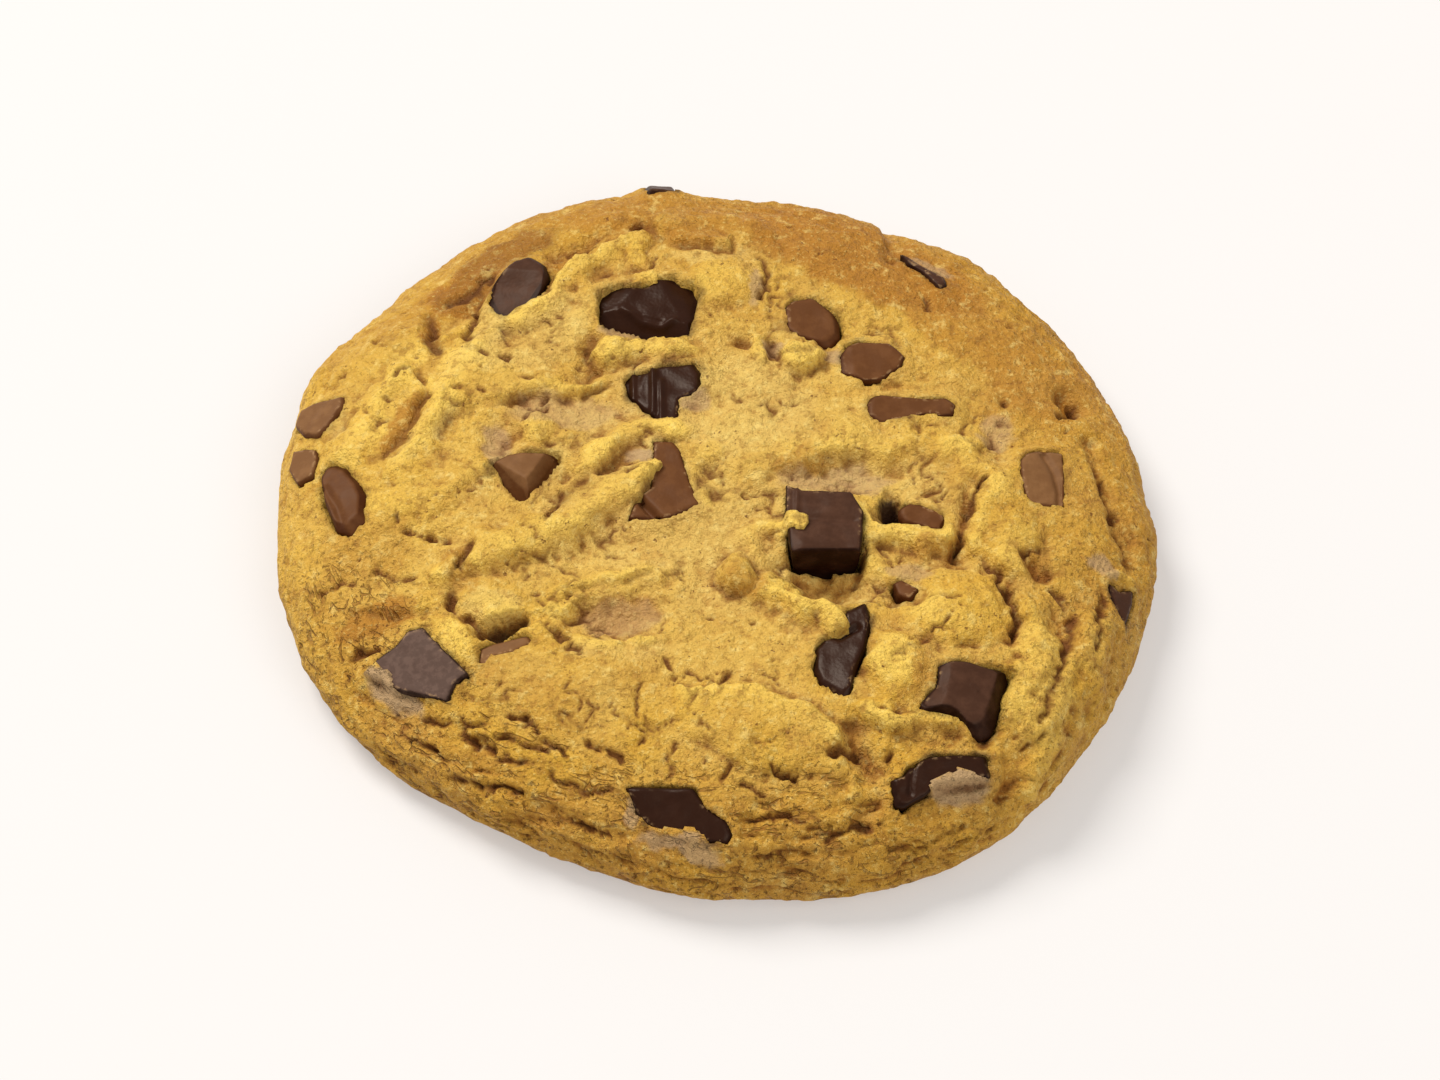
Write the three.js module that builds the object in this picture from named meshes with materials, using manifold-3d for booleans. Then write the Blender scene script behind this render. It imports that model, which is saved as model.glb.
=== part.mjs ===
// A round chocolate chunk cookie, baked on a flat sheet: one craggy golden dough body with
// broken chunks of dark and milk chocolate set into its top and its rim.
// Millimetres, +Z up. Plan points are [x, y] seen from above, with the front of the cookie at -Y.
// The finished group stands with the middle of its underside at the origin.

import * as THREE from 'three';
import { mergeVertices } from 'three/addons/utils/BufferGeometryUtils.js';
import Module from 'manifold-3d';

// ---------------------------------------------------------------- driving dimensions, mm
const RIM_RADIUS = 43.3;        // mean radius of the outline
const CROWN_HEIGHT = 12.6;      // top of the smooth crown above the underside
const WALL_HEIGHT = 3.8;        // where the crown turns into the side wall
const CROWN_POWER = 4.5;        // how flat the crown is before it rolls over the shoulder
const FOOT_UNDERCUT = 0.045;    // share of the radius by which the foot lies inside the rim
const RING_STEP = 1.43;         // spacing of the dough's mesh rings along its profile
const SPOKES = 6;               // points that each ring has more than the ring inside it
const MOST_SPOKES = 31;         // past this ring the rings keep their number of points
const CHUNK_GAP = 0.3;          // clearance between a chunk and its pocket in the dough
const POCKET_RISE = 14;         // how far a pocket's cutter reaches above its chunk
const STEEP_SHARE = 0.45;       // width of a crest's steep flank, as a share of its gentle one
const HIGHEST_RELIEF = 2.6;     // no crest stands further than this out of the smooth cookie
const FOOT_RELIEF = 0.35;       // share of the relief that is left where the wall meets the foot
const CHUNK_FOOT = 0.82;        // size of a chunk's hidden underside, as a share of its widest part

// Waves of the whole surface: wavelength and height
const UNDULATIONS = [
  { length: 11, height: 0.8 },
  { length: 5.2, height: 0.65 },
];

// The outline swells and shrinks round the rim: bearing and spread in degrees, 0 along +X
const SWELLS = [
  { bearing: 12, spread: 16, out: -0.6 },
  { bearing: 54, spread: 14, out: 0.9 },
  { bearing: 68, spread: 6, out: -0.5 },
  { bearing: 104, spread: 9, out: 2.0 },
  { bearing: 140, spread: 8, out: -1.1 },
  { bearing: 146, spread: 28, out: 2.4 },
  { bearing: 248, spread: 24, out: -3.3 },
  { bearing: 263, spread: 7, out: 0.8 },
  { bearing: 304, spread: 13, out: 1.9 },
  { bearing: 348, spread: 10, out: 0.4 },
];

// Crests and folds of the dough: a path in plan, half width, height, and the side of the
// path, seen from above and along it, on which the flank is steep
const CRESTS = [
  { path: [[-7.3, 1.4], [-9, 0.3], [-12, -3], [-15, -5], [-21, -7.8], [-24, -9.3]],
    width: 2.5, height: 2.3, steep: 'left' },
  { path: [[-4.5, 7], [-7, 8], [-9.5, 6.5], [-14, 3]], width: 1.5, height: 1.6, steep: 'left' },
  { path: [[-12, 18.6], [-7.5, 18], [-3.3, 17.7]], width: 1.4, height: 1.6, steep: 'right' },
  { path: [[3, -5.5], [4, -8]], width: 1.2, height: 1.0 },
  { path: [[5.5, -12], [8, -14], [10.8, -16.3]], width: 1.7, height: 1.8, steep: 'right' },
  { path: [[4, 3.2], [10, 5.5], [15, 6.7], [22, 6]], width: 3.2, height: 1.7, steep: 'right' },
  { path: [[14.5, -4.2], [18, -5.2], [22.5, -5.2]], width: 1.8, height: 1.8, steep: 'right' },
  { path: [[14.5, -27], [18.5, -27.8], [23.3, -26.6]], width: 1.5, height: 1.6, steep: 'right' },
  { path: [[-5.5, 35], [-1.5, 35.8], [2.5, 34.8]], width: 2.2, height: 1.3, steep: 'right' },
  { path: [[-36.5, 6], [-34.5, 10.5], [-31.5, 15]], width: 2.2, height: 1.2, steep: 'right' },
  { path: [[-30, 3], [-28.6, 8], [-27, 12]], width: 2.2, height: 1.3, steep: 'right' },
  { path: [[-16, -14], [-10, -11.5], [-6, -10.4]], width: 1.6, height: 1.1, steep: 'right' },
  { path: [[30.3, -14], [31, -18], [30.8, -22], [29, -26]], width: 1.7, height: 1.3 },
  { path: [[36.5, -14], [35, -18], [32.5, -22]], width: 1.8, height: 1.5 },
  { path: [[24.6, 4], [27.5, 0.5], [29, -4], [28.5, -8]], width: 2.6, height: 1.4 },
];

// Round lumps: centre, half sizes, turn in degrees, height, and how steep the edge is
const LUMPS = [
  { at: [1.8, -10.2], size: [2.4, 2.3], turn: 0, height: 1.9, edge: 0.6 },
  { at: [-7.4, 1.5], size: [1.5, 1.4], turn: 0, height: 1.2, edge: 0.7 },
  { at: [-3.2, 17.8], size: [1.5, 1.4], turn: 0, height: 0.9, edge: 0.7 },
  { at: [10.6, -16.2], size: [1.8, 1.6], turn: 0, height: 0.8, edge: 0.7 },
  { at: [23.5, -14], size: [5.9, 5.4], turn: 0, height: 1.8, edge: 0.7 },
  { at: [17.6, -21], size: [2.6, 4.6], turn: 8, height: 1.5, edge: 0.8 },
  { at: [8.4, 17.4], size: [2.4, 2.2], turn: 0, height: 1.4, edge: 0.8 },
  { at: [0.4, 27.4], size: [3.4, 3.8], turn: 0, height: 1.0, edge: 0.8 },
  { at: [-1.2, 4.7], size: [1.9, 1.7], turn: 0, height: 0.8, edge: 1.0 },
  { at: [4.6, -28.4], size: [10, 4.6], turn: -22, height: 1.3, edge: 0.5 },
  { at: [-33, 19], size: [6, 5], turn: 40, height: 0.7, edge: 1.2 },
];

// Hollows: as the lumps, with their depth
const HOLLOWS = [
  { at: [13, 2.4], size: [7, 2.6], turn: 6, depth: 1.8, edge: 1.2 },
  { at: [10.6, -11], size: [4.8, 3.2], turn: 0, depth: 3.0, edge: 0.9 },
  { at: [17.2, -2.2], size: [2.2, 2.2], turn: 0, depth: 2.4, edge: 0.9 },
  { at: [-21.6, 6.4], size: [2.6, 3.6], turn: 20, depth: 1.4, edge: 1.2 },
  { at: [-9.5, -15.2], size: [6, 3.4], turn: 12, depth: 1.7, edge: 1.1 },
  { at: [-20.8, -16.2], size: [3.4, 1.8], turn: 15, depth: 1.8, edge: 1.0 },
  { at: [18.3, -12.2], size: [2.8, 2.4], turn: 0, depth: 1.5, edge: 1.0 },
  { at: [12.2, -21], size: [2.8, 5.2], turn: 10, depth: 1.2, edge: 1.0 },
  { at: [-36.6, 0.6], size: [2.6, 5.4], turn: 20, depth: 0.9, edge: 1.2 },
  { at: [35.4, 14.2], size: [1.9, 2.6], turn: 0, depth: 1.6, edge: 1.0 },
  { at: [27.8, 6.6], size: [2.4, 4.2], turn: 0, depth: 0.9, edge: 1.3 },
  { at: [31.4, -8.9], size: [2.0, 1.5], turn: 0, depth: 1.3, edge: 1.0 },
];

// Cracks and creases: a path, half width and depth
const CRACKS = [
  { path: [[26.5, 1.5], [25.2, -1.5], [24.3, -4.5], [23.2, -7.8]], width: 1.0, depth: 1.7 },
  { path: [[26.5, -9], [28.5, -12], [29, -15], [29.9, -20]], width: 1.1, depth: 1.3 },
  { path: [[33, -14], [33.5, -18], [31.8, -21.5]], width: 1.0, depth: 1.2 },
  { path: [[37, 9], [38.6, 3], [39.3, -0.5], [41, -4.5]], width: 1.0, depth: 1.1 },
  { path: [[13.2, -28], [15.2, -32.5], [15, -36], [13.5, -38]], width: 1.1, depth: 1.2 },
  { path: [[-16, 31.8], [-12.5, 33.7], [-8, 34.8]], width: 1.1, depth: 1.1 },
  { path: [[-28, 21.5], [-24.6, 24.7], [-22.5, 28]], width: 1.0, depth: 1.0 },
  { path: [[-29.3, 12], [-30.5, 9.5], [-32.5, 6.5]], width: 1.1, depth: 1.0 },
  { path: [[-33.5, -23.5], [-31.5, -24.8], [-26.5, -26.5], [-21.5, -29.2]], width: 1.0, depth: 1.1 },
  { path: [[-20, -25.8], [-16.5, -28.9], [-12.5, -29.8], [-9, -31]], width: 1.0, depth: 1.0 },
  { path: [[-24.8, -8.6], [-26, -12.5], [-24, -15]], width: 1.0, depth: 1.3 },
  { path: [[16.5, 42], [17.6, 38], [18.4, 33]], width: 1.2, depth: 1.3 },
  { path: [[-12.8, 19.5], [-12.9, 14.5]], width: 1.0, depth: 1.0 },
];

// Chocolate chunks: corners in plan round the widest part, how far the top face stands proud
// of the smooth crown (below it where negative), thickness, the chamfer's drop, the top face's
// share of the widest part and its shift, and a lean in degrees towards a bearing
const DARK_CHUNKS = [
  { corners: [[-18.6, 31.1], [-17, 29.6], [-16.7, 28], [-17.3, 26.3], [-18.8, 24.2], [-21.2, 22.3],
    [-22.4, 23.2], [-23.2, 25.2], [-22.6, 27.4], [-21.3, 29.2], [-20.4, 30.6]],
    proud: 1.2, thick: 5.5, chamfer: 0.8, face: 0.84, shift: [-0.1, 0.1] },
  { corners: [[-12.1, 25.6], [-10.8, 26.4], [-7, 26.6], [-6.3, 27.6], [-4.3, 27.5], [-2, 26.6],
    [-1.4, 24.8], [-2.1, 21.2], [-2.7, 19.5], [-5.3, 18.6], [-8.2, 19.7], [-11.4, 20.6], [-12.2, 22.4]],
    proud: 0.3, thick: 5, chamfer: 0.8, face: 0.82, shift: [0.1, 0.2], lean: 6, toward: 250 },
  { corners: [[-9.6, 14.4], [-8.8, 15.3], [-6.6, 15.7], [-6, 16.2], [-2.2, 16.4], [-1.4, 15],
    [-1.5, 12.5], [-3.6, 11.4], [-3.7, 8.6], [-4.6, 8], [-5.8, 8.2], [-7.2, 10], [-9.1, 11.9]],
    proud: 0.1, thick: 4.5, chamfer: 0.8, face: 0.84, shift: [0.1, 0.1], lean: 6, toward: 200 },
  { corners: [[6.6, 0.1], [8.2, -0.6], [13.3, -0.9], [14.5, -3.4], [14.2, -8.4], [7.2, -8.4],
    [6.6, -4]],
    proud: 1.5, thick: 7, chamfer: 0.4, face: 0.94, shift: [0, 0] },
  { corners: [[12.4, -14.6], [14.5, -13.7], [15.1, -15.8], [14.5, -19.4], [13.3, -22.4],
    [13, -24.8], [12.1, -25.4], [9.8, -23.4], [9.1, -21.8], [9.3, -19], [10, -18], [12, -17.4],
    [12.5, -16.4]],
    proud: 0.4, thick: 4.5, chamfer: 0.6, face: 0.84, shift: [0.2, 0], lean: 8, toward: 180 },
  { corners: [[21.3, -21.2], [23.1, -20.5], [24.4, -20.3], [28.2, -20.9], [28.8, -21.5],
    [27.6, -25.4], [26.6, -28.3], [25.5, -28.9], [24.6, -28.6], [23.5, -27.2], [22.5, -26.6],
    [19.8, -26.9], [19.2, -26.1], [20.9, -24.2]],
    proud: 1.2, thick: 6, chamfer: 1.4, face: 0.78, shift: [-0.7, 0.4] },
  { corners: [[16.5, -33.6], [17.8, -33.1], [18.5, -32.1], [20.5, -30.8], [24, -30.3],
    [26.2, -30.2], [26.6, -32.4], [23, -33.3], [21.2, -33.7], [20, -35], [17.9, -36.3], [17, -36.2]],
    proud: 0.5, thick: 4.5, chamfer: 0.6, face: 0.86, shift: [0, 0.1] },
  { corners: [[-9.1, -34.3], [-5, -34.4], [-2.2, -34.7], [-0.9, -36.3], [1.1, -37.8], [1.7, -39],
    [1.2, -39.8], [-2, -39.4], [-4.6, -38.9], [-6.2, -38.3], [-7.9, -36.6], [-8.3, -35.5]],
    proud: 0.4, thick: 4, chamfer: 0.4, face: 0.9, shift: [0, 0] },
  { corners: [[-30, -16], [-28.5, -15.9], [-26.2, -18.8], [-23.8, -21.6], [-25.2, -22.6],
    [-25.9, -24.4], [-28.4, -23.3], [-31.3, -22.1], [-32.4, -20.8], [-34.2, -19.9], [-33.3, -18.7],
    [-31.3, -17.5]],
    proud: 0.6, thick: 5, chamfer: 0.4, face: 0.93, shift: [0, 0] },
  { corners: [[38.2, -8.2], [39.6, -8.8], [41.3, -7.9], [41.2, -9.8], [40.1, -13.1], [38.9, -11.2]],
    proud: 0, thick: 3.5, chamfer: 0.5, face: 0.75, shift: [0, 0] },
  { corners: [[18.4, 33.4], [19.8, 32.2], [21.6, 30.6], [23.3, 29.4], [23.4, 28.4], [22.5, 27.6],
    [21.9, 28.6], [21, 30], [19.2, 31.4]],
    proud: 0, thick: 3.5, chamfer: 0.4, face: 0.8, shift: [0, 0] },
  { corners: [[-7.6, 43.8], [-4.2, 44.2], [-3.8, 41.8], [-7.2, 41.2]],
    proud: 0.6, thick: 3.5, chamfer: 0.6, face: 0.7, shift: [0, 0] },
];
const MILK_CHUNKS = [
  { corners: [[6.8, 24], [7.6, 25], [9.9, 25.4], [11.9, 23.3], [12.5, 21.8], [12.5, 20],
    [11.5, 18.8], [10.6, 18.7], [8.2, 19.6], [7, 20.6]],
    proud: 0.2, thick: 4.5, chamfer: 0.7, face: 0.84, shift: [-0.4, 0.2] },
  { corners: [[12.2, 17.4], [12.8, 18.7], [14, 19.4], [17.3, 19.3], [18.9, 17.4], [18.4, 15.9],
    [17.2, 14.8], [16.3, 14], [14.7, 13.8], [12.3, 15]],
    proud: 0.4, thick: 4.5, chamfer: 0.4, face: 0.9, shift: [0, 0] },
  { corners: [[14.7, 11], [15.2, 12], [16.2, 12.4], [20.9, 12.1], [22.9, 12.3], [23.8, 11.4],
    [23.6, 9.9], [22.2, 9.6], [21.2, 9.9], [17.8, 8.9], [16.1, 8.5], [14.8, 9.6]],
    proud: 0.3, thick: 4, chamfer: 0.4, face: 0.88, shift: [0, 0] },
  { corners: [[29.8, 4.5], [30.5, 5.7], [31.8, 6.3], [34.4, 6.3], [34.5, 3], [34.4, -1.2],
    [31.6, -1.2], [30.5, -1.3], [29.9, 1.6]],
    proud: 0.5, thick: 5, chamfer: 0.5, face: 0.9, shift: [0, 0] },
  { corners: [[-6.4, 6.4], [-4.3, 6.4], [-3.5, 5], [-2.5, 1], [-1.5, -1.9], [-4.2, -3.3],
    [-5.8, -3.8], [-8.9, -3.6], [-8, -0.8], [-6.6, 0.4]],
    proud: 0.4, thick: 5, chamfer: 0.4, face: 0.92, shift: [0, 0] },
  { corners: [[-22.4, 3.8], [-20.6, 4.8], [-18.6, 5.2], [-15.1, 5], [-15.3, 3.6], [-17.2, 0.6],
    [-19.3, -1.1], [-20.4, 0.2]],
    proud: 0.3, thick: 4.5, chamfer: 0.8, face: 0.76, shift: [-0.5, 0.3] },
  { corners: [[-38.6, 5.4], [-37.7, 5.4], [-36.5, 4.6], [-35, 2.2], [-34.3, 0.2], [-34.4, -3],
    [-35.9, -4.3], [-37.6, -3.2], [-38.4, -0.9], [-39.2, 1.6], [-39.3, 4]],
    proud: 0.8, thick: 4.5, chamfer: 0.9, face: 0.76, shift: [-0.2, 0.1] },
  { corners: [[-37.2, 14.4], [-37.2, 13.1], [-38.5, 10.8], [-39.8, 9.6], [-41.3, 10.6],
    [-42.3, 12.4], [-41.8, 14.6], [-39.7, 14.9]],
    proud: 0.3, thick: 3.5, chamfer: 0.4, face: 0.88, shift: [0, 0] },
  { corners: [[-42.3, 9.1], [-40.9, 8.7], [-39.8, 8], [-39.5, 6.4], [-40, 4.5], [-41.7, 4], [-42.7, 6.6]],
    proud: 0.3, thick: 3.5, chamfer: 0.4, face: 0.88, shift: [0, 0] },
  { corners: [[-23.2, -18.2], [-21.8, -17.7], [-18.3, -16.9], [-17.7, -18], [-19.8, -19],
    [-22, -19.4], [-22.6, -20.7], [-23.5, -20]],
    proud: -0.5, thick: 4, chamfer: 0.4, face: 0.85, shift: [0, 0] },
  { corners: [[17.7, -1.7], [18.7, -0.9], [20, -1.1], [22.4, -2], [22.7, -3.1], [22.1, -4.5],
    [20.9, -4.4], [18.3, -3.4], [17.7, -2.6]],
    proud: -0.3, thick: 4, chamfer: 0.5, face: 0.82, shift: [0.1, 0.2] },
  { corners: [[17, -10.8], [18, -10.3], [19.9, -11.6], [18.9, -13], [17.6, -12.4]],
    proud: -0.3, thick: 3.5, chamfer: 0.4, face: 0.8, shift: [0, 0] },
];

// ---------------------------------------------------------------- the smooth cookie
const { PI, atan2, cos, exp, floor, hypot, max, min, sign, sin, sqrt, tan, tanh } = Math;
const radians = (degrees) => degrees * PI / 180;
const bell = (t) => exp(-t * t);

/** Radius of the outline at a bearing in radians. */
function rimRadius(bearing) {
  let radius = RIM_RADIUS;
  for (const swell of SWELLS) {
    const off = ((bearing * 180 / PI - swell.bearing + 540) % 360 + 360) % 360 - 180;
    radius += swell.out * exp(-0.5 * (off / swell.spread) ** 2);
  }
  return radius;
}

/** Height of the smooth crown above a plan point. */
function crownHeight(x, y) {
  const share = min(hypot(x, y) / rimRadius(atan2(y, x)), 1);
  return WALL_HEIGHT + (CROWN_HEIGHT - WALL_HEIGHT) * sqrt(1 - share ** CROWN_POWER);
}

const onCrown = ([x, y]) => new THREE.Vector3(x, y, crownHeight(x, y));

/** The crown's outward normal above a plan point, from its slope over half a millimetre. */
function crownNormal(x, y) {
  const reach = 0.25;
  const slopeX = (crownHeight(x + reach, y) - crownHeight(x - reach, y)) / (2 * reach);
  const slopeY = (crownHeight(x, y + reach) - crownHeight(x, y - reach)) / (2 * reach);
  return new THREE.Vector3(-slopeX, -slopeY, 1).normalize();
}

/** The profile from the crown's middle to the foot, as [share of the radius, height], even by length. */
function profilePoints(step) {
  const fine = [];
  const samples = 400;
  for (let i = 0; i <= samples; i += 1) {
    const turn = i / samples * PI / 2;
    fine.push([sin(turn) ** (2 / CROWN_POWER), WALL_HEIGHT + (CROWN_HEIGHT - WALL_HEIGHT) * cos(turn)]);
  }
  for (let i = 1; i <= samples; i += 1) {
    const drop = i / samples;
    fine.push([1 - FOOT_UNDERCUT * drop ** 2, WALL_HEIGHT * (1 - drop)]);
  }
  const lengths = [0];
  for (let i = 1; i < fine.length; i += 1) {
    const across = (fine[i][0] - fine[i - 1][0]) * RIM_RADIUS;
    lengths.push(lengths[i - 1] + hypot(across, fine[i][1] - fine[i - 1][1]));
  }
  const total = lengths[lengths.length - 1];
  const count = Math.round(total / step);
  const points = [];
  let at = 0;
  for (let k = 0; k <= count; k += 1) {
    const wanted = total * k / count;
    while (at < lengths.length - 2 && lengths[at + 1] < wanted) at += 1;
    const t = (wanted - lengths[at]) / (lengths[at + 1] - lengths[at]);
    points.push([0, 1].map((c) => fine[at][c] + (fine[at + 1][c] - fine[at][c]) * min(t, 1)));
  }
  return points;
}

// ---------------------------------------------------------------- relief
/** A repeatable value from 0 to 1 at a whole lattice point. */
function latticeValue(i, j, k) {
  const spread = sin(i * 127.1 + j * 311.7 + k * 74.7) * 43758.5453;
  return spread - floor(spread);
}

/** Smooth value noise from -1 to 1, with one lattice cell to the unit. */
function valueNoise(x, y, z) {
  const cell = [x, y, z].map(floor);
  const ease = [x, y, z].map((v, c) => (v - cell[c]) ** 2 * (3 - 2 * (v - cell[c])));
  let sum = 0;
  for (let corner = 0; corner < 8; corner += 1) {
    const step = [corner & 1, (corner >> 1) & 1, corner >> 2];
    const weight = step.reduce((product, s, c) => product * (s ? ease[c] : 1 - ease[c]), 1);
    sum += weight * latticeValue(cell[0] + step[0], cell[1] + step[1], cell[2] + step[2]);
  }
  return 2 * sum - 1;
}

/** Distance from a surface point to a path laid on the crown, and the side it is on: 1 is left. */
function pathDistance(point, normal, path) {
  let best = { distance: Infinity, side: 0 };
  for (let i = 0; i < path.length - 1; i += 1) {
    const start = path[i];
    const run = path[i + 1].clone().sub(start);
    const offset = point.clone().sub(start);
    const share = min(max(offset.dot(run) / run.lengthSq(), 0), 1);
    const distance = offset.clone().addScaledVector(run, -share).length();
    if (distance < best.distance) best = { distance, side: sign(run.clone().cross(offset).dot(normal)) };
  }
  return best;
}

/** Elliptical distance from a lump's centre: 1 on its edge. */
function lumpShare(point, lump) {
  const turn = radians(lump.turn);
  const offset = point.clone().sub(lump.centre);
  const along = offset.x * cos(turn) + offset.y * sin(turn);
  const across = -offset.x * sin(turn) + offset.y * cos(turn);
  return hypot(along / lump.size[0], across / lump.size[1], offset.z / max(...lump.size));
}

const laid = (feature) => ({ ...feature, path: feature.path.map(onCrown) });
const centred = (feature) => ({ ...feature, centre: onCrown(feature.at) });
const crests = CRESTS.map(laid);
const cracks = CRACKS.map(laid);
const lumps = LUMPS.map(centred);
const hollows = HOLLOWS.map(centred);

/** How far the dough stands out from the smooth cookie at a surface point. */
function relief(point, normal) {
  let height = 0;
  for (const wave of UNDULATIONS) {
    height += wave.height * valueNoise(point.x / wave.length, point.y / wave.length, point.z / wave.length);
  }
  for (const crest of crests) {
    const near = pathDistance(point, normal, crest.path);
    const steep = crest.steep === (near.side > 0 ? 'left' : 'right');
    height += crest.height * bell(near.distance / (crest.width * (steep ? STEEP_SHARE : 1)));
  }
  for (const crack of cracks) {
    height -= crack.depth * bell(pathDistance(point, normal, crack.path).distance / crack.width);
  }
  for (const lump of lumps) {
    const inside = 1 - lumpShare(point, lump) ** 2;
    if (inside > 0) height += lump.height * inside ** lump.edge;
  }
  for (const hollow of hollows) {
    const inside = 1 - lumpShare(point, hollow) ** 2;
    if (inside > 0) height -= hollow.depth * inside ** hollow.edge;
  }
  return height > 0 ? HIGHEST_RELIEF * tanh(height / HIGHEST_RELIEF) : height;
}

// ---------------------------------------------------------------- dough
/** Triangles between two closed rings of points, the first one inside the second. */
function zipRings(inner, outer) {
  const triangles = [];
  let i = 0;
  let j = 0;
  while (i < inner.length || j < outer.length) {
    const a = inner[i % inner.length];
    const b = outer[j % outer.length];
    if (j >= outer.length || (i < inner.length && (i + 1) / inner.length < (j + 1) / outer.length)) {
      triangles.push(a, b, inner[(i + 1) % inner.length]);
      i += 1;
    } else {
      triangles.push(a, b, outer[(j + 1) % outer.length]);
      j += 1;
    }
  }
  return triangles;
}

/** The whole dough before the chunks' pockets: crown, shoulder and wall in rings, and a flat underside. */
function doughGeometry() {
  const profile = profilePoints(RING_STEP);
  const positions = [];
  const rings = [];
  profile.forEach(([share, level], k) => {
    const count = k === 0 ? 1 : SPOKES * min(k, MOST_SPOKES);
    const [before, after] = [profile[max(k - 1, 0)], profile[min(k + 1, profile.length - 1)]];
    const ring = [];
    for (let i = 0; i < count; i += 1) {
      const bearing = 2 * PI * i / count;
      const radius = rimRadius(bearing);
      const outward = new THREE.Vector3(cos(bearing), sin(bearing), 0);
      const smooth = outward.clone().multiplyScalar(share * radius).setZ(level);
      const normal = outward.clone().multiplyScalar(before[1] - after[1]);
      normal.z = (after[0] - before[0]) * radius;
      if (k === 0) normal.set(0, 0, 1);
      normal.normalize();
      const settled = min(level / WALL_HEIGHT, 1);
      const stand = relief(smooth, normal) * (FOOT_RELIEF + (1 - FOOT_RELIEF) * settled);
      const shaped = smooth.clone().addScaledVector(normal, stand);
      shaped.z = level + (shaped.z - level) * settled;
      ring.push(positions.length / 3);
      positions.push(...shaped);
    }
    rings.push(ring);
  });
  const triangles = [];
  for (let k = 0; k < rings.length - 1; k += 1) triangles.push(...zipRings(rings[k], rings[k + 1]));
  const foot = rings[rings.length - 1];
  const middle = positions.length / 3;
  positions.push(0, 0, 0);
  foot.forEach((corner, i) => triangles.push(middle, foot[(i + 1) % foot.length], corner));
  return indexedGeometry(positions, triangles);
}

/** A BufferGeometry from flat lists of coordinates and corner numbers. */
function indexedGeometry(positions, triangles) {
  const geometry = new THREE.BufferGeometry();
  geometry.setAttribute('position', new THREE.Float32BufferAttribute(positions, 3));
  geometry.setIndex(triangles);
  return geometry;
}

// ---------------------------------------------------------------- chunks
/** A closed outline moved outwards by a distance, corner by corner. */
function widenOutline(corners, distance) {
  return corners.map((corner, i) => {
    const before = corner.clone().sub(corners[(i + corners.length - 1) % corners.length]).normalize();
    const after = corners[(i + 1) % corners.length].clone().sub(corner).normalize();
    const outBefore = new THREE.Vector2(before.y, -before.x);
    const outAfter = new THREE.Vector2(after.y, -after.x);
    const bisector = outBefore.clone().add(outAfter).normalize();
    return corner.clone().addScaledVector(bisector, distance / max(bisector.dot(outBefore), 0.5));
  });
}

/** A closed solid through outlines with like corners, each at its own height, from the lowest up. */
function stackedOutlines(layers) {
  const count = layers[0].outline.length;
  const positions = layers.flatMap(({ outline, level }) => outline.flatMap((p) => [p.x, p.y, level]));
  const triangles = [];
  for (let layer = 0; layer < layers.length - 1; layer += 1) {
    for (let i = 0; i < count; i += 1) {
      const next = (i + 1) % count;
      const [low, high] = [layer * count, (layer + 1) * count];
      triangles.push(low + i, low + next, high + next, low + i, high + next, high + i);
    }
  }
  const top = (layers.length - 1) * count;
  for (const [a, b, c] of THREE.ShapeUtils.triangulateShape(layers[0].outline, [])) triangles.push(a, c, b);
  for (const [a, b, c] of THREE.ShapeUtils.triangulateShape(layers[layers.length - 1].outline, [])) {
    triangles.push(top + a, top + b, top + c);
  }
  return indexedGeometry(positions, triangles);
}

/** A chunk's seat on the crown: its middle, its upright, and its corners in its own plane. */
function seatOf(chunk) {
  const count = chunk.corners.length;
  const middle = chunk.corners.reduce((sum, [x, y]) => sum.add(new THREE.Vector2(x, y)), new THREE.Vector2());
  middle.divideScalar(count);
  const origin = onCrown([middle.x, middle.y]);
  const upright = crownNormal(middle.x, middle.y);
  if (chunk.lean) {
    const bearing = radians(chunk.toward);
    upright.addScaledVector(new THREE.Vector3(cos(bearing), sin(bearing), 0), tan(radians(chunk.lean)));
    upright.normalize();
  }
  const turn = new THREE.Quaternion().setFromUnitVectors(new THREE.Vector3(0, 0, 1), upright);
  const back = turn.clone().invert();
  const outline = chunk.corners.map(([x, y]) => {
    const offset = new THREE.Vector3(x - origin.x, y - origin.y, 0);
    offset.z = -(upright.x * offset.x + upright.y * offset.y) / upright.z;
    offset.applyQuaternion(back);
    return new THREE.Vector2(offset.x, offset.y);
  });
  const ordered = THREE.ShapeUtils.isClockWise(outline) ? outline.reverse() : outline;
  return { origin, turn, outline: ordered };
}

/** The chunk's faceted block in its own plane: a smaller underside, the widest part and the top face. */
function chunkGeometry(chunk, outline) {
  const scaled = (share, [dx, dy]) => outline.map(({ x, y }) => (
    new THREE.Vector2(x * share + dx, y * share + dy)
  ));
  return stackedOutlines([
    { outline: scaled(CHUNK_FOOT, [0, 0]), level: chunk.proud - chunk.thick },
    { outline, level: chunk.proud - chunk.chamfer },
    { outline: scaled(chunk.face, chunk.shift), level: chunk.proud },
  ]);
}

/** The cutter for the chunk's pocket: its widest part with clearance, open upwards. */
function pocketGeometry(chunk, outline) {
  const wide = widenOutline(outline, CHUNK_GAP);
  return stackedOutlines([
    { outline: wide, level: chunk.proud - chunk.thick - CHUNK_GAP },
    { outline: wide, level: chunk.proud + POCKET_RISE },
  ]);
}

// ---------------------------------------------------------------- joining and cutting
const wasm = await Module();
wasm.setup();

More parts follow.
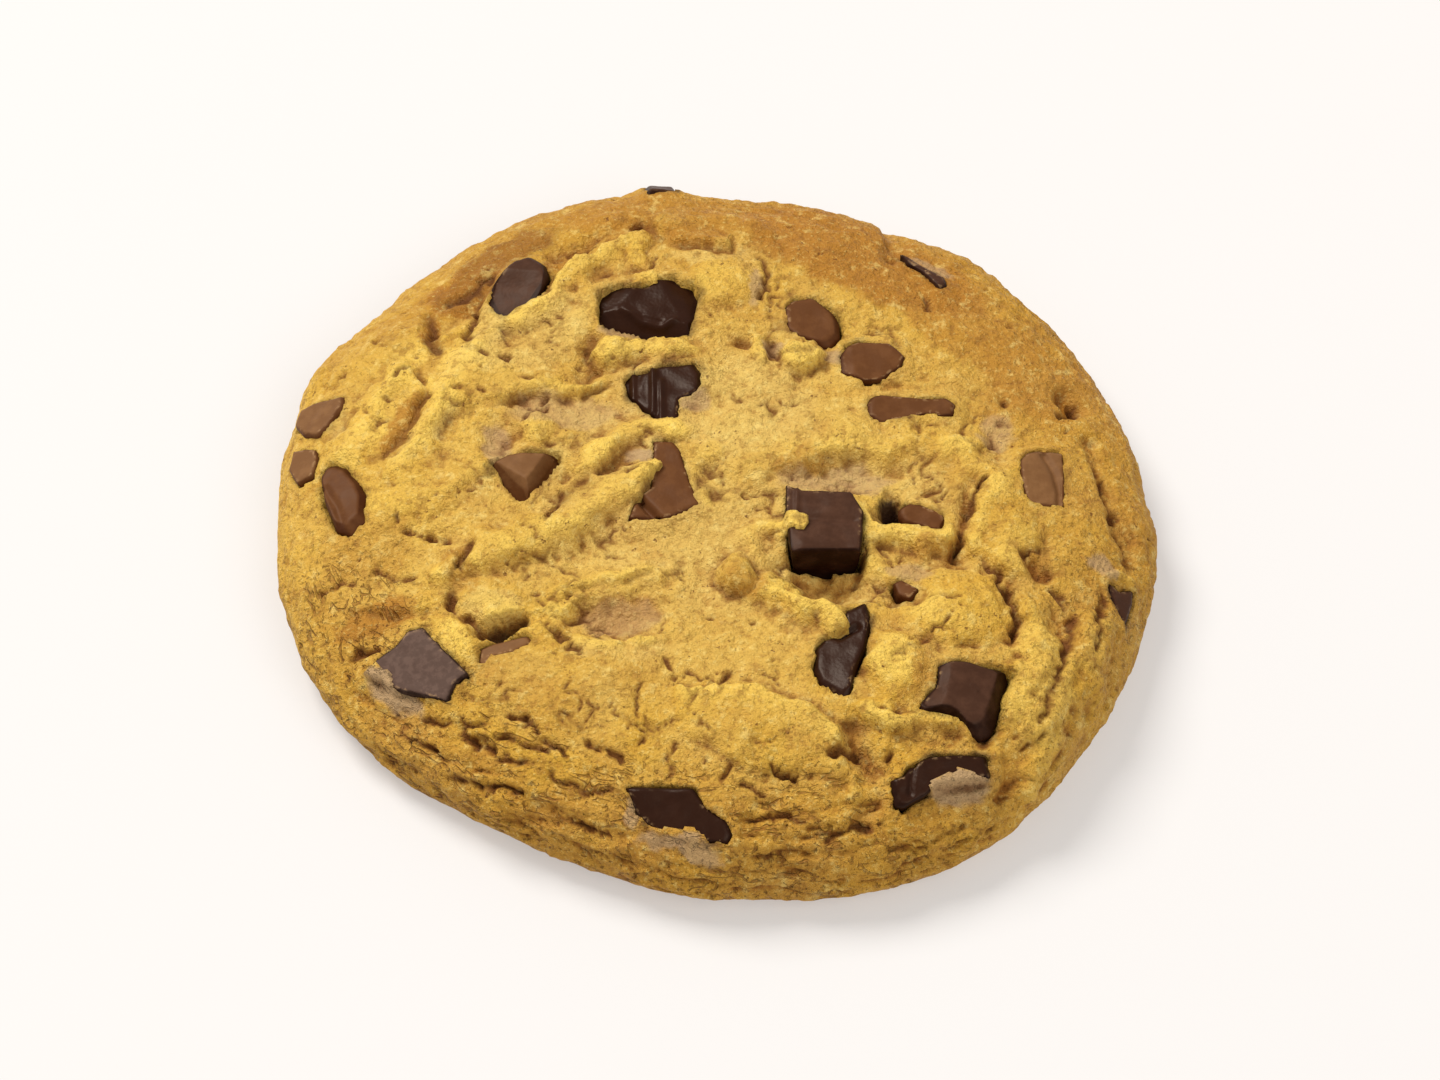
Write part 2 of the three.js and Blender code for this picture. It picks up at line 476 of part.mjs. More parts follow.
/** A manifold solid from a closed geometry. */
function solidOf(geometry) {
  const bare = geometry.clone();
  bare.deleteAttribute('normal');
  bare.deleteAttribute('uv');
  const merged = mergeVertices(bare, 1e-5);
  return new wasm.Manifold(new wasm.Mesh({
    numProp: 3,
    vertProperties: new Float32Array(merged.attributes.position.array),
    triVerts: new Uint32Array(merged.index.array),
  }));
}

/** A flat-shaded geometry from a manifold solid. */
function geometryOf(solid) {
  const mesh = solid.getMesh();
  const points = [];
  for (let i = 0; i < mesh.vertProperties.length; i += mesh.numProp) {
    points.push(...mesh.vertProperties.slice(i, i + 3));
  }
  const geometry = indexedGeometry(points, Array.from(mesh.triVerts));
  geometry.computeVertexNormals();
  return geometry;
}

// ---------------------------------------------------------------- the cookie
const bakedDough = new THREE.MeshStandardMaterial({ color: '#cf9c45', roughness: 0.88, metalness: 0 });
const darkChocolate = new THREE.MeshStandardMaterial({ color: '#32190f', roughness: 0.34, metalness: 0 });
const milkChocolate = new THREE.MeshStandardMaterial({ color: '#75492c', roughness: 0.45, metalness: 0 });

const cookie = new THREE.Group();
let dough = solidOf(doughGeometry());

/** Adds a chunk to the cookie and cuts its pocket out of the dough. */
function setChunk(chunk, name, material) {
  const seat = seatOf(chunk);
  const mesh = new THREE.Mesh(chunkGeometry(chunk, seat.outline), material);
  mesh.name = name;
  mesh.geometry.computeVertexNormals();
  mesh.position.copy(seat.origin);
  mesh.quaternion.copy(seat.turn);
  mesh.updateMatrixWorld();
  cookie.add(mesh);
  const cutter = pocketGeometry(chunk, seat.outline).applyMatrix4(mesh.matrixWorld);
  dough = dough.subtract(solidOf(cutter));
}

DARK_CHUNKS.forEach((chunk, i) => setChunk(chunk, `dark_chunk_${i + 1}`, darkChocolate));
MILK_CHUNKS.forEach((chunk, i) => setChunk(chunk, `milk_chunk_${i + 1}`, milkChocolate));

const doughMesh = new THREE.Mesh(geometryOf(dough), bakedDough);
doughMesh.name = 'dough';
cookie.add(doughMesh);

// The middle of the finished box's underside comes to the origin
const box = new THREE.Box3().setFromObject(cookie);
cookie.position.set(-(box.min.x + box.max.x) / 2, -(box.min.y + box.max.y) / 2, -box.min.z);

export default cookie;
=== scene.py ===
"""A round chocolate chunk cookie lying on a pale floor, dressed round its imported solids.

The dough is one fine mesh with the folds, crests, hollows and cracks of the solid dough, and the
crumb, pores and wrinkles of the real one. Each chunk is worked from its own solid: its broken
edges are rounded, and its faces are cut and roughened. Lengths in this file are millimetres in the
cookie's own plan, with the middle of the rim at the origin, unless a name says metres.
"""

from __future__ import annotations

import logging
import math
from collections.abc import Iterator
from dataclasses import dataclass, field
from enum import Enum

import bmesh
import bpy
import numpy as np
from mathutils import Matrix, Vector

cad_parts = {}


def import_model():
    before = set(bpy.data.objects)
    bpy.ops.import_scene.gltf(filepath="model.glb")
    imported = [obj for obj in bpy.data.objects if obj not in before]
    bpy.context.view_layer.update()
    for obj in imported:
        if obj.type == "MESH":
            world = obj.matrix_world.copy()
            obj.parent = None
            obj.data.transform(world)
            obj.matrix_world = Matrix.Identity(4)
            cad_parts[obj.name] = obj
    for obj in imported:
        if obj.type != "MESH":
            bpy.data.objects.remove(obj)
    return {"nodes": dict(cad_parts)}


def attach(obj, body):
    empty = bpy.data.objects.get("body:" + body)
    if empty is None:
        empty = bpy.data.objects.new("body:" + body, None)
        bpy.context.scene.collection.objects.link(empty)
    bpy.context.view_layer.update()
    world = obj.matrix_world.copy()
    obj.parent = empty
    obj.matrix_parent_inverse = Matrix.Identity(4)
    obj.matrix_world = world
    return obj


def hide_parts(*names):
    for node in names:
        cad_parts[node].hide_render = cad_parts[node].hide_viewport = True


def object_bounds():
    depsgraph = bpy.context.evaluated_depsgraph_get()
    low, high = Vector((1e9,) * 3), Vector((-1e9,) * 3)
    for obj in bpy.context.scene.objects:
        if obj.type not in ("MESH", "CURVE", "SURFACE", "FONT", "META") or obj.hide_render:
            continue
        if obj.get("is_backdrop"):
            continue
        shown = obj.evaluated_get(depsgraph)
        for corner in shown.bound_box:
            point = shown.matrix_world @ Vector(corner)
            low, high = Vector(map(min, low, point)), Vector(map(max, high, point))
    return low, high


LOG = logging.getLogger("cookie")

METRES = 0.001  # metres in a millimetre
RIM_CENTRE = np.array([0.015, -1.164, 0.0])  # the rim's middle in the frame, mm
FAR = 1e9  # farther than anything here, mm
TINY = 1e-6  # the least length that is divided by, mm
WELD = 1e-6  # vertices of a solid nearer than this are one, metres
Array = np.ndarray
Points = Array  # rows of x, y, z in mm
Colour = tuple[int, int, int]  # screen values from 0 to 255
Path = tuple[tuple[float, float], ...]  # corners in plan
Socket = bpy.types.NodeSocket


# ---- noise
class Grain:
    """Repeatable noise in space, with no random draws."""

    TURN = np.array([[0.80, 0.36, -0.48], [-0.60, 0.48, -0.64], [0.0, 0.80, 0.60]])
    STRIDES = (127.1, 311.7, 74.7, 53.93)  # part the columns, rows, layers and salts
    SCATTER = 43758.5453
    GRADIENT_GAIN = 1.6
    AXIS_SALT = 7.3
    LAYER_SALT = 11.0
    BILLOW_GAIN = 2.2
    BILLOW_TOP = 1.3
    PUSH_SALTS = (0.0, 1.7, 3.1)
    SEED_SALT = 3.1
    NAME_SALT = 17.0
    NO_SEED = 9.0  # farther than any seed, in cells

    @classmethod
    def lattice(cls, i: Array, j: Array, k: Array, salt: float = 0.0) -> Array:
        """Scatters values over a lattice of whole points.

        Args:
            i: the points' columns.
            j: their rows.
            k: their layers.
            salt: picks another pattern.

        Returns:
            A repeatable value from 0 to 1 for each point.
        """
        column, row, layer, pick = cls.STRIDES
        spread = np.sin(i * column + j * row + k * layer + salt * pick) * cls.SCATTER
        return spread - np.floor(spread)

    @staticmethod
    def corners(ease: Points) -> Iterator[tuple[Array, Array]]:
        """Goes round the eight corners of the lattice cells that hold some points.

        Args:
            ease: how far each point lies along its cell on each axis, eased, from 0 to 1.

        Yields:
            A corner's step from the cell's first one, and its weight at each point.
        """
        for corner in range(8):
            step = np.array([corner & 1, corner >> 1 & 1, corner >> 2])
            yield step, np.prod(np.where(step, ease, 1 - ease), axis=1)

    @classmethod
    def value(cls, points: Points, length: float) -> Array:
        """Smooth value noise, the same as the solid dough's.

        Args:
            points: where it is read.
            length: the size of one lattice cell.

        Returns:
            A value from -1 to 1 for each point.
        """
        scaled = points / length
        cell = np.floor(scaled)
        inside = scaled - cell
        total = np.zeros(len(points))
        for step, weight in cls.corners(inside**2 * (3 - 2 * inside)):
            total += weight * cls.lattice(*(cell + step).T)
        return 2 * total - 1

    @classmethod
    def gradient(cls, points: Points, length: float, salt: float = 0.0) -> Array:
        """Gradient noise, rounder and more even than value noise.

        Args:
            points: where it is read.
            length: the size of one lattice cell.
            salt: picks another pattern.

        Returns:
            A value from about -1 to 1 for each point.
        """
        scaled = points @ cls.TURN.T / length
        cell = np.floor(scaled)
        inside = scaled - cell
        total = np.zeros(len(points))
        for step, weight in cls.corners(inside**3 * (inside * (inside * 6 - 15) + 10)):
            at = (cell + step).T
            slopes = [cls.lattice(*at, salt + cls.AXIS_SALT * c) for c in (1, 2, 3)]
            offset = inside - step
            total += weight * sum((2 * slopes[c] - 1) * offset[:, c] for c in range(3))
        return total * cls.GRADIENT_GAIN

    @classmethod
    def layered(cls, points: Points, length: float, layers: int, salt: float = 0.0) -> Array:
        """Gradient noise in layers, each half as large and half as strong.

        Args:
            points: where it is read.
            length: the first layer's cell.
            layers: how many there are.
            salt: picks another pattern.

        Returns:
            A value for each point.
        """
        total = np.zeros(len(points))
        for layer in range(layers):
            finer = cls.gradient(points, length / 2**layer, salt + cls.LAYER_SALT * layer)
            total += finer / 2**layer
        return total

    @classmethod
    def billows(cls, points: Points, length: float, salt: float = 0.0) -> Array:
        """Returns rounded bumps with sharp creases between them, from about 0 to 1."""
        raised = np.abs(cls.gradient(points, length, salt)) * cls.BILLOW_GAIN
        return np.minimum(raised, cls.BILLOW_TOP)

    @classmethod
    def cells(cls, points: Points, length: float, salt: float) -> tuple[Array, ...]:
        """Cellular noise.

        Args:
            points: where it is read.
            length: the size of one cell.
            salt: picks another pattern.

        Returns:
            The distance to the nearest seed and to the next one, both in mm, and a value from
            0 to 1 that names the nearest seed.
        """
        scaled = points @ cls.TURN.T / length
        home = np.floor(scaled)
        nearest = np.full(len(points), cls.NO_SEED)
        second = np.full(len(points), cls.NO_SEED)
        name = np.zeros(len(points))
        for index in range(27):
            step = np.array([index % 3 - 1, index // 3 % 3 - 1, index // 9 - 1])
            at = home + step
            seed = [cls.lattice(*at.T, salt + cls.SEED_SALT * c) for c in (1, 2, 3)]
            away = np.sqrt(sum((at[:, c] + seed[c] - scaled[:, c]) ** 2 for c in range(3)))
            closer = away < nearest
            second = np.where(closer, nearest, np.minimum(second, away))
            name = np.where(closer, cls.lattice(*at.T, salt + cls.NAME_SALT), name)
            nearest = np.where(closer, away, nearest)
        return nearest * length, second * length, name


@dataclass(frozen=True)
class Pattern:
    """A noise pattern: how large its features are, how strong it is, and which one it is."""

    length: float
    strength: float
    salt: float
    layers: int = 1

    def read(self, points: Points) -> Array:
        """Returns its value at each point."""
        return self.strength * Grain.layered(points, self.length, self.layers, self.salt)

    def billows(self, points: Points) -> Array:
        """Returns rounded bumps, half above zero and half below it."""
        return self.strength * (0.5 - Grain.billows(points, self.length, self.salt))

    def push(self, points: Points) -> Points:
        """Returns the points pushed about by it, so that what is read there is irregular."""
        push = [Grain.gradient(points, self.length, self.salt + c) for c in Grain.PUSH_SALTS]
        return points + self.strength * np.column_stack(push)


@dataclass(frozen=True)
class CrackNet:
    """A net of fine cracks between cells."""

    spacing: float
    width: float
    depth: float
    salt: float

    def read(self, points: Points) -> Array:
        """Returns its depth at each point."""
        near, far, _ = Grain.cells(points, self.spacing, self.salt)
        return np.clip(1 - (far - near) / self.width, 0, 1) * self.depth


@dataclass(frozen=True)
class Pits:
    """Scattered round pits, with the share of the cells that hold one."""

    spacing: float
    radius: float
    depth: float
    share: float
    salt: float
    sizes: tuple[float, float] = (0.5, 1.7)  # the smallest and largest, in radii

    def read(self, points: Points) -> Array:
        """Reads the pits.

        Args:
            points: where they are read.

        Returns:
            Their depth at each point.
        """
        near, _, name = Grain.cells(points, self.spacing, self.salt)
        smallest, largest = self.sizes
        size = self.radius * (smallest + (largest - smallest) * np.mod(name * 7, 1))
        return np.where(name < self.share, np.clip(1 - (near / size) ** 2, 0, 1) * self.depth, 0)


@dataclass(frozen=True)
class Ramp:
    """An eased step from 0 at low to its gain at high. It falls where high is the lower one."""

    low: float
    high: float
    gain: float = 1.0

    def at(self, value: Array) -> Array:
        """Returns the step's height for each value."""
        share = np.clip((value - self.low) / (self.high - self.low), 0, 1)
        return share * share * (3 - 2 * share) * self.gain


@dataclass(frozen=True)
class Sector:
    """A side of the cookie: its bearing and soft spread in degrees, 0 along +X."""

    bearing: float
    spread: float

    def at(self, x: Array, y: Array) -> Array:
        """Returns 1 at the bearing, and less to both sides of it."""
        return bell(turned(np.degrees(np.arctan2(y, x)), self.bearing) / self.spread)


def turned(bearing: Array, start: float) -> Array:
    """Returns how far each bearing is turned from a start, from -180 to 180 degrees."""
    return (bearing - start + 180) % 360 - 180


def bell(value: Array) -> Array:
    """Returns a bell curve: 1 at 0, and small past 2."""
    return np.exp(-(value**2))


def at_least(least: float, share: Array) -> Array:
    """Returns a share from 0 to 1 squeezed to run from its least value to 1."""
    return least + (1 - least) * share


# ---- form
class Side(Enum):
    """A side of a path, seen from above and along it."""

    NEITHER = 0
    LEFT = 1
    RIGHT = -1


@dataclass(frozen=True)
class Swell:
    """A place where the outline swells or shrinks: bearing and spread in degrees, 0 along +X."""

    bearing: float
    spread: float
    out: float


@dataclass(frozen=True)
class Crest:
    """A fold of the dough along a path, with a steep flank on one side if it has one.

    Where it is marked as over, it lies over the chocolate that it meets.
    """

    path: Path
    width: float
    height: float
    steep: Side = Side.NEITHER
    over: bool = False


@dataclass(frozen=True)
class Ledge:
    """A step in the surface: high on one side of its path, and sloping back down over a reach."""

    path: Path
    height: float
    reach: float
    high: Side


@dataclass(frozen=True)
class Crack:
    """A crack along a path, with its half width and depth."""

    path: Path
    width: float
    depth: float


@dataclass(frozen=True)
class Mound:
    """A round lump, or a hollow where its height is negative."""

    at: tuple[float, float]
    size: tuple[float, float]
    turn: float
    height: float
    edge: float
    over: bool = False


@dataclass(frozen=True)
class CookieForm:
    """The smooth cookie: its outline, its crown and its side wall."""

    rim_radius: float = 43.3
    crown_height: float = 12.6
    wall_height: float = 3.8
    crown_power: float = 4.5
    foot_undercut: float = 0.045
    profile_steps: int = 400
    swells: tuple[Swell, ...] = (
        Swell(12, 16, -0.6),
        Swell(54, 14, 0.9),
        Swell(68, 6, -0.5),
        Swell(104, 9, 2.0),
        Swell(140, 8, -1.1),
        Swell(146, 28, 2.4),
        Swell(248, 24, -3.3),
        Swell(263, 7, 0.8),
        Swell(304, 13, 1.9),
        Swell(348, 10, 0.4),
    )

    def radius(self, bearing: Array) -> Array:
        """Reads the outline in plan.

        Args:
            bearing: the bearings, in radians.

        Returns:
            The outline's radius at each bearing.
        """
        total = np.full(np.shape(bearing), self.rim_radius)
        for swell in self.swells:
            off = turned(np.degrees(bearing), swell.bearing)
            total += swell.out * np.exp(-0.5 * (off / swell.spread) ** 2)
        return total

    def crown(self, x: Array, y: Array) -> Array:
        """Reads the smooth crown, without its folds.

        Args:
            x: the plan points' first coordinates.
            y: their second ones.

        Returns:
            The crown's height above each plan point.
        """
        share = np.minimum(np.hypot(x, y) / self.radius(np.arctan2(y, x)), 1)
        rise = self.crown_height - self.wall_height
        return self.wall_height + rise * np.sqrt(1 - share**self.crown_power)

    def outward(self, x: float, y: float) -> Array:
        """Works out which way the crown faces.

        Args:
            x: a plan point's first coordinate.
            y: its second one.

        Returns:
            The crown's unit normal above the plan point.
        """
        step = 0.1
        places = np.array([(x - step, y), (x + step, y), (x, y - step), (x, y + step)])
        west, east, south, north = self.crown(places[:, 0], places[:, 1])
        normal = np.array([west - east, south - north, 2 * step])
        return normal / np.linalg.norm(normal)

    def laid(self, path: Path) -> Points:
        """Returns a plan path laid on the crown."""
        plan = np.array(path, float)
        return np.column_stack([plan, self.crown(plan[:, 0], plan[:, 1])])

    def profile(self, step: float) -> Points:
        """Samples the profile from the crown's middle to the foot, evenly by length.

        Args:
            step: the length between two samples.

        Returns:
            Rows of share of the radius, height, and length from the middle.
        """
        turn = np.linspace(0, math.pi / 2, self.profile_steps + 1)
        rise = self.crown_height - self.wall_height
        share = np.sin(turn) ** (2 / self.crown_power)
        crown = np.column_stack([share, self.wall_height + rise * np.cos(turn)])
        drop = np.linspace(0, 1, self.profile_steps + 1)[1:]
        foot = 1 - self.foot_undercut * drop**2
        wall = np.column_stack([foot, self.wall_height * (1 - drop)])
        fine = np.vstack([crown, wall])
        steps = np.diff(fine, axis=0) * (self.rim_radius, 1)
        lengths = np.concatenate([[0], np.cumsum(np.hypot(*steps.T))])
        count = round(lengths[-1] / step)
        wanted = np.linspace(0, lengths[-1], count + 1)
        shares, levels = (np.interp(wanted, lengths, fine[:, c]) for c in (0, 1))
        return np.column_stack([shares, levels, wanted])


# ---- relief
FINE_CRACKS: dict[tuple[float, float], tuple[Path, ...]] = {  # by half width and depth
    (0.3, 0.5): (
        ((23, -15.6), (23.8, -14.4)),
    ),
    (0.35, 0.5): (
        ((24.6, -13), (22.4, -13.6), (20.8, -13.2)), ((21.2, -17.4), (22.4, -16.4)),
    ),
    (0.35, 0.6): (
        ((15.8, -26.3), (19.6, -26.7)),
    ),
    (0.4, 0.5): (
        ((-34.4, 20.5), (-34, 20.1)), ((32.2, -11), (34.4, -12.8)),
        ((-7.4, -23.4), (-7.9, -26), (-7.2, -28.6)), ((-4, -30), (-4.6, -31.6), (-4.3, -33)),
        ((-33.6, -8.4), (-31.4, -9.8), (-29.6, -9.4)),
        ((-38.8, -9.6), (-37.2, -8.8), (-35.4, -9.4)),
    ),
    (0.4, 0.6): (
        ((-7.2, -28.2), (-7.2, -29.8)), ((4.5, -40.7), (6, -40)), ((-5.2, -20.3), (-4.2, -22.3)),
        ((0.6, -23.8), (1, -22.2)), ((-9.2, 1.9), (-7.6, 2.6)), ((16.4, -31.3), (16.8, -30.4)),
    ),
    (0.4, 0.7): (
        ((26.2, -8.4), (27.6, -10), (28.4, -12), (28.9, -14)), ((-31.4, -2.2), (-31.3, -3.2)),
        ((21.4, 26.6), (21.2, 24.8)), ((-6.6, 29.2), (-6, 30.8)),
    ),
    (0.45, 0.5): (
        ((-33.2, 12.6), (-32.8, 11.6)),
    ),
    (0.45, 0.6): (
        ((-23.6, 17.8), (-23, 17.4)), ((-19.2, 14.4), (-18.6, 14.2)),
        ((-23.7, 12.9), (-23.2, 12.3)), ((-37.8, 17.8), (-37, 17.3)),
        ((37.8, -9.5), (37.4, -13.4), (36.2, -17)), ((-28.6, -25.2), (-25, -26.4), (-22.4, -26.8)),
        ((-31, -25.6), (-27.4, -28)), ((-26, -30.4), (-22, -32.2), (-19, -33)),
        ((-16, -32.4), (-12, -34.2), (-9.4, -34.6)), ((-13.8, -36.4), (-10.6, -37.6)),
        ((3.4, -37.6), (7, -37), (9.6, -37.6)), ((9.4, -39.6), (12.6, -38.2), (15.6, -37.8)),
    ),
    (0.45, 0.7): (
        ((-15, 0), (-16.8, -4)),
    ),
    (0.45, 0.9): (
        ((26.4, 2), (25.6, 0.5), (24.6, -3), (23.8, -5.2), (23.2, -7.6)),
    ),
    (0.5, 0.6): (
        ((-21.2, -29.8), (-18, -31)), ((-12.5, -29.5), (-9, -31.4)), ((2.5, -34.3), (5, -35.5)),
        ((0.4, -33.8), (1.3, -32.2)), ((-16.4, -16.2), (-14.6, -18), (-13.2, -20)),
        ((28.4, 13), (28.6, 12.2)), ((28.2, 10), (29, 9.4)),
    ),
    (0.5, 0.7): (
        ((-24.8, -25.9), (-24, -28), (-21.5, -29.2)),
        ((-24.6, -27.6), (-21, -28.2), (-16.6, -29.8)), ((-13.2, 32.7), (-12.4, 33)),
        ((-18.8, 9.4), (-17, 11)),
    ),
    (0.5, 0.8): (
        ((-30.3, -4.6), (-28, -5.2), (-26.3, -5.9)), ((-31.9, 14.6), (-31.2, 15.8)),
        ((-24.2, 24.6), (-24.6, 22), (-25.2, 20.5)),
        ((-24.7, -14.5), (-23.2, -15.8), (-22.9, -17.2)), ((39.5, -2.6), (40.4, -4.4), (41.3, -5)),
        ((29.8, -7.4), (31.8, -6.6)), ((5.2, -32.5), (7.4, -33.9)),
        ((4.9, 30), (5.3, 28), (4.2, 25)),
    ),
    (0.5, 0.9): (
        ((38.2, 4.2), (38.4, 1.5), (39.3, -0.8)),
        ((27.2, -9.4), (28.6, -12), (29.2, -14.6), (28.6, -17.8)),
        ((-20, -25.8), (-18, -27.2), (-16.5, -28.9), (-14.5, -30.4)),
    ),
    (0.55, 0.7): (
        ((-21.6, 17.4), (-20.8, 17)),
    ),
    (0.6, 0.5): (
        ((34.8, -14), (34, -17), (32.4, -21.4), (30.6, -26.2)),
    ),
    (0.6, 0.8): (
        ((-35.8, -17.2), (-33.4, -16.9)),
    ),
    (0.6, 0.9): (
        ((-8.3, 34.6), (-7.8, 36.4)), ((-25.8, -12), (-26.1, -13.6)),
    ),
    (0.6, 1.1): (
        ((34.4, 11.8), (35.8, 13), (36.4, 14.8)),
    ),
    (0.7, 1.0): (
        ((10.8, -31.3), (12, -30.9), (13.6, -31)), ((-24.1, -6.8), (-25, -9.4)),
    ),
    (0.8, 0.6): (
        ((-27, 26), (-25, 27), (-23, 29.5)),
    ),
    (0.9, 0.6): (
        ((-28.8, 23.6), (-28.5, 20), (-28, 18.6)),
    ),
}


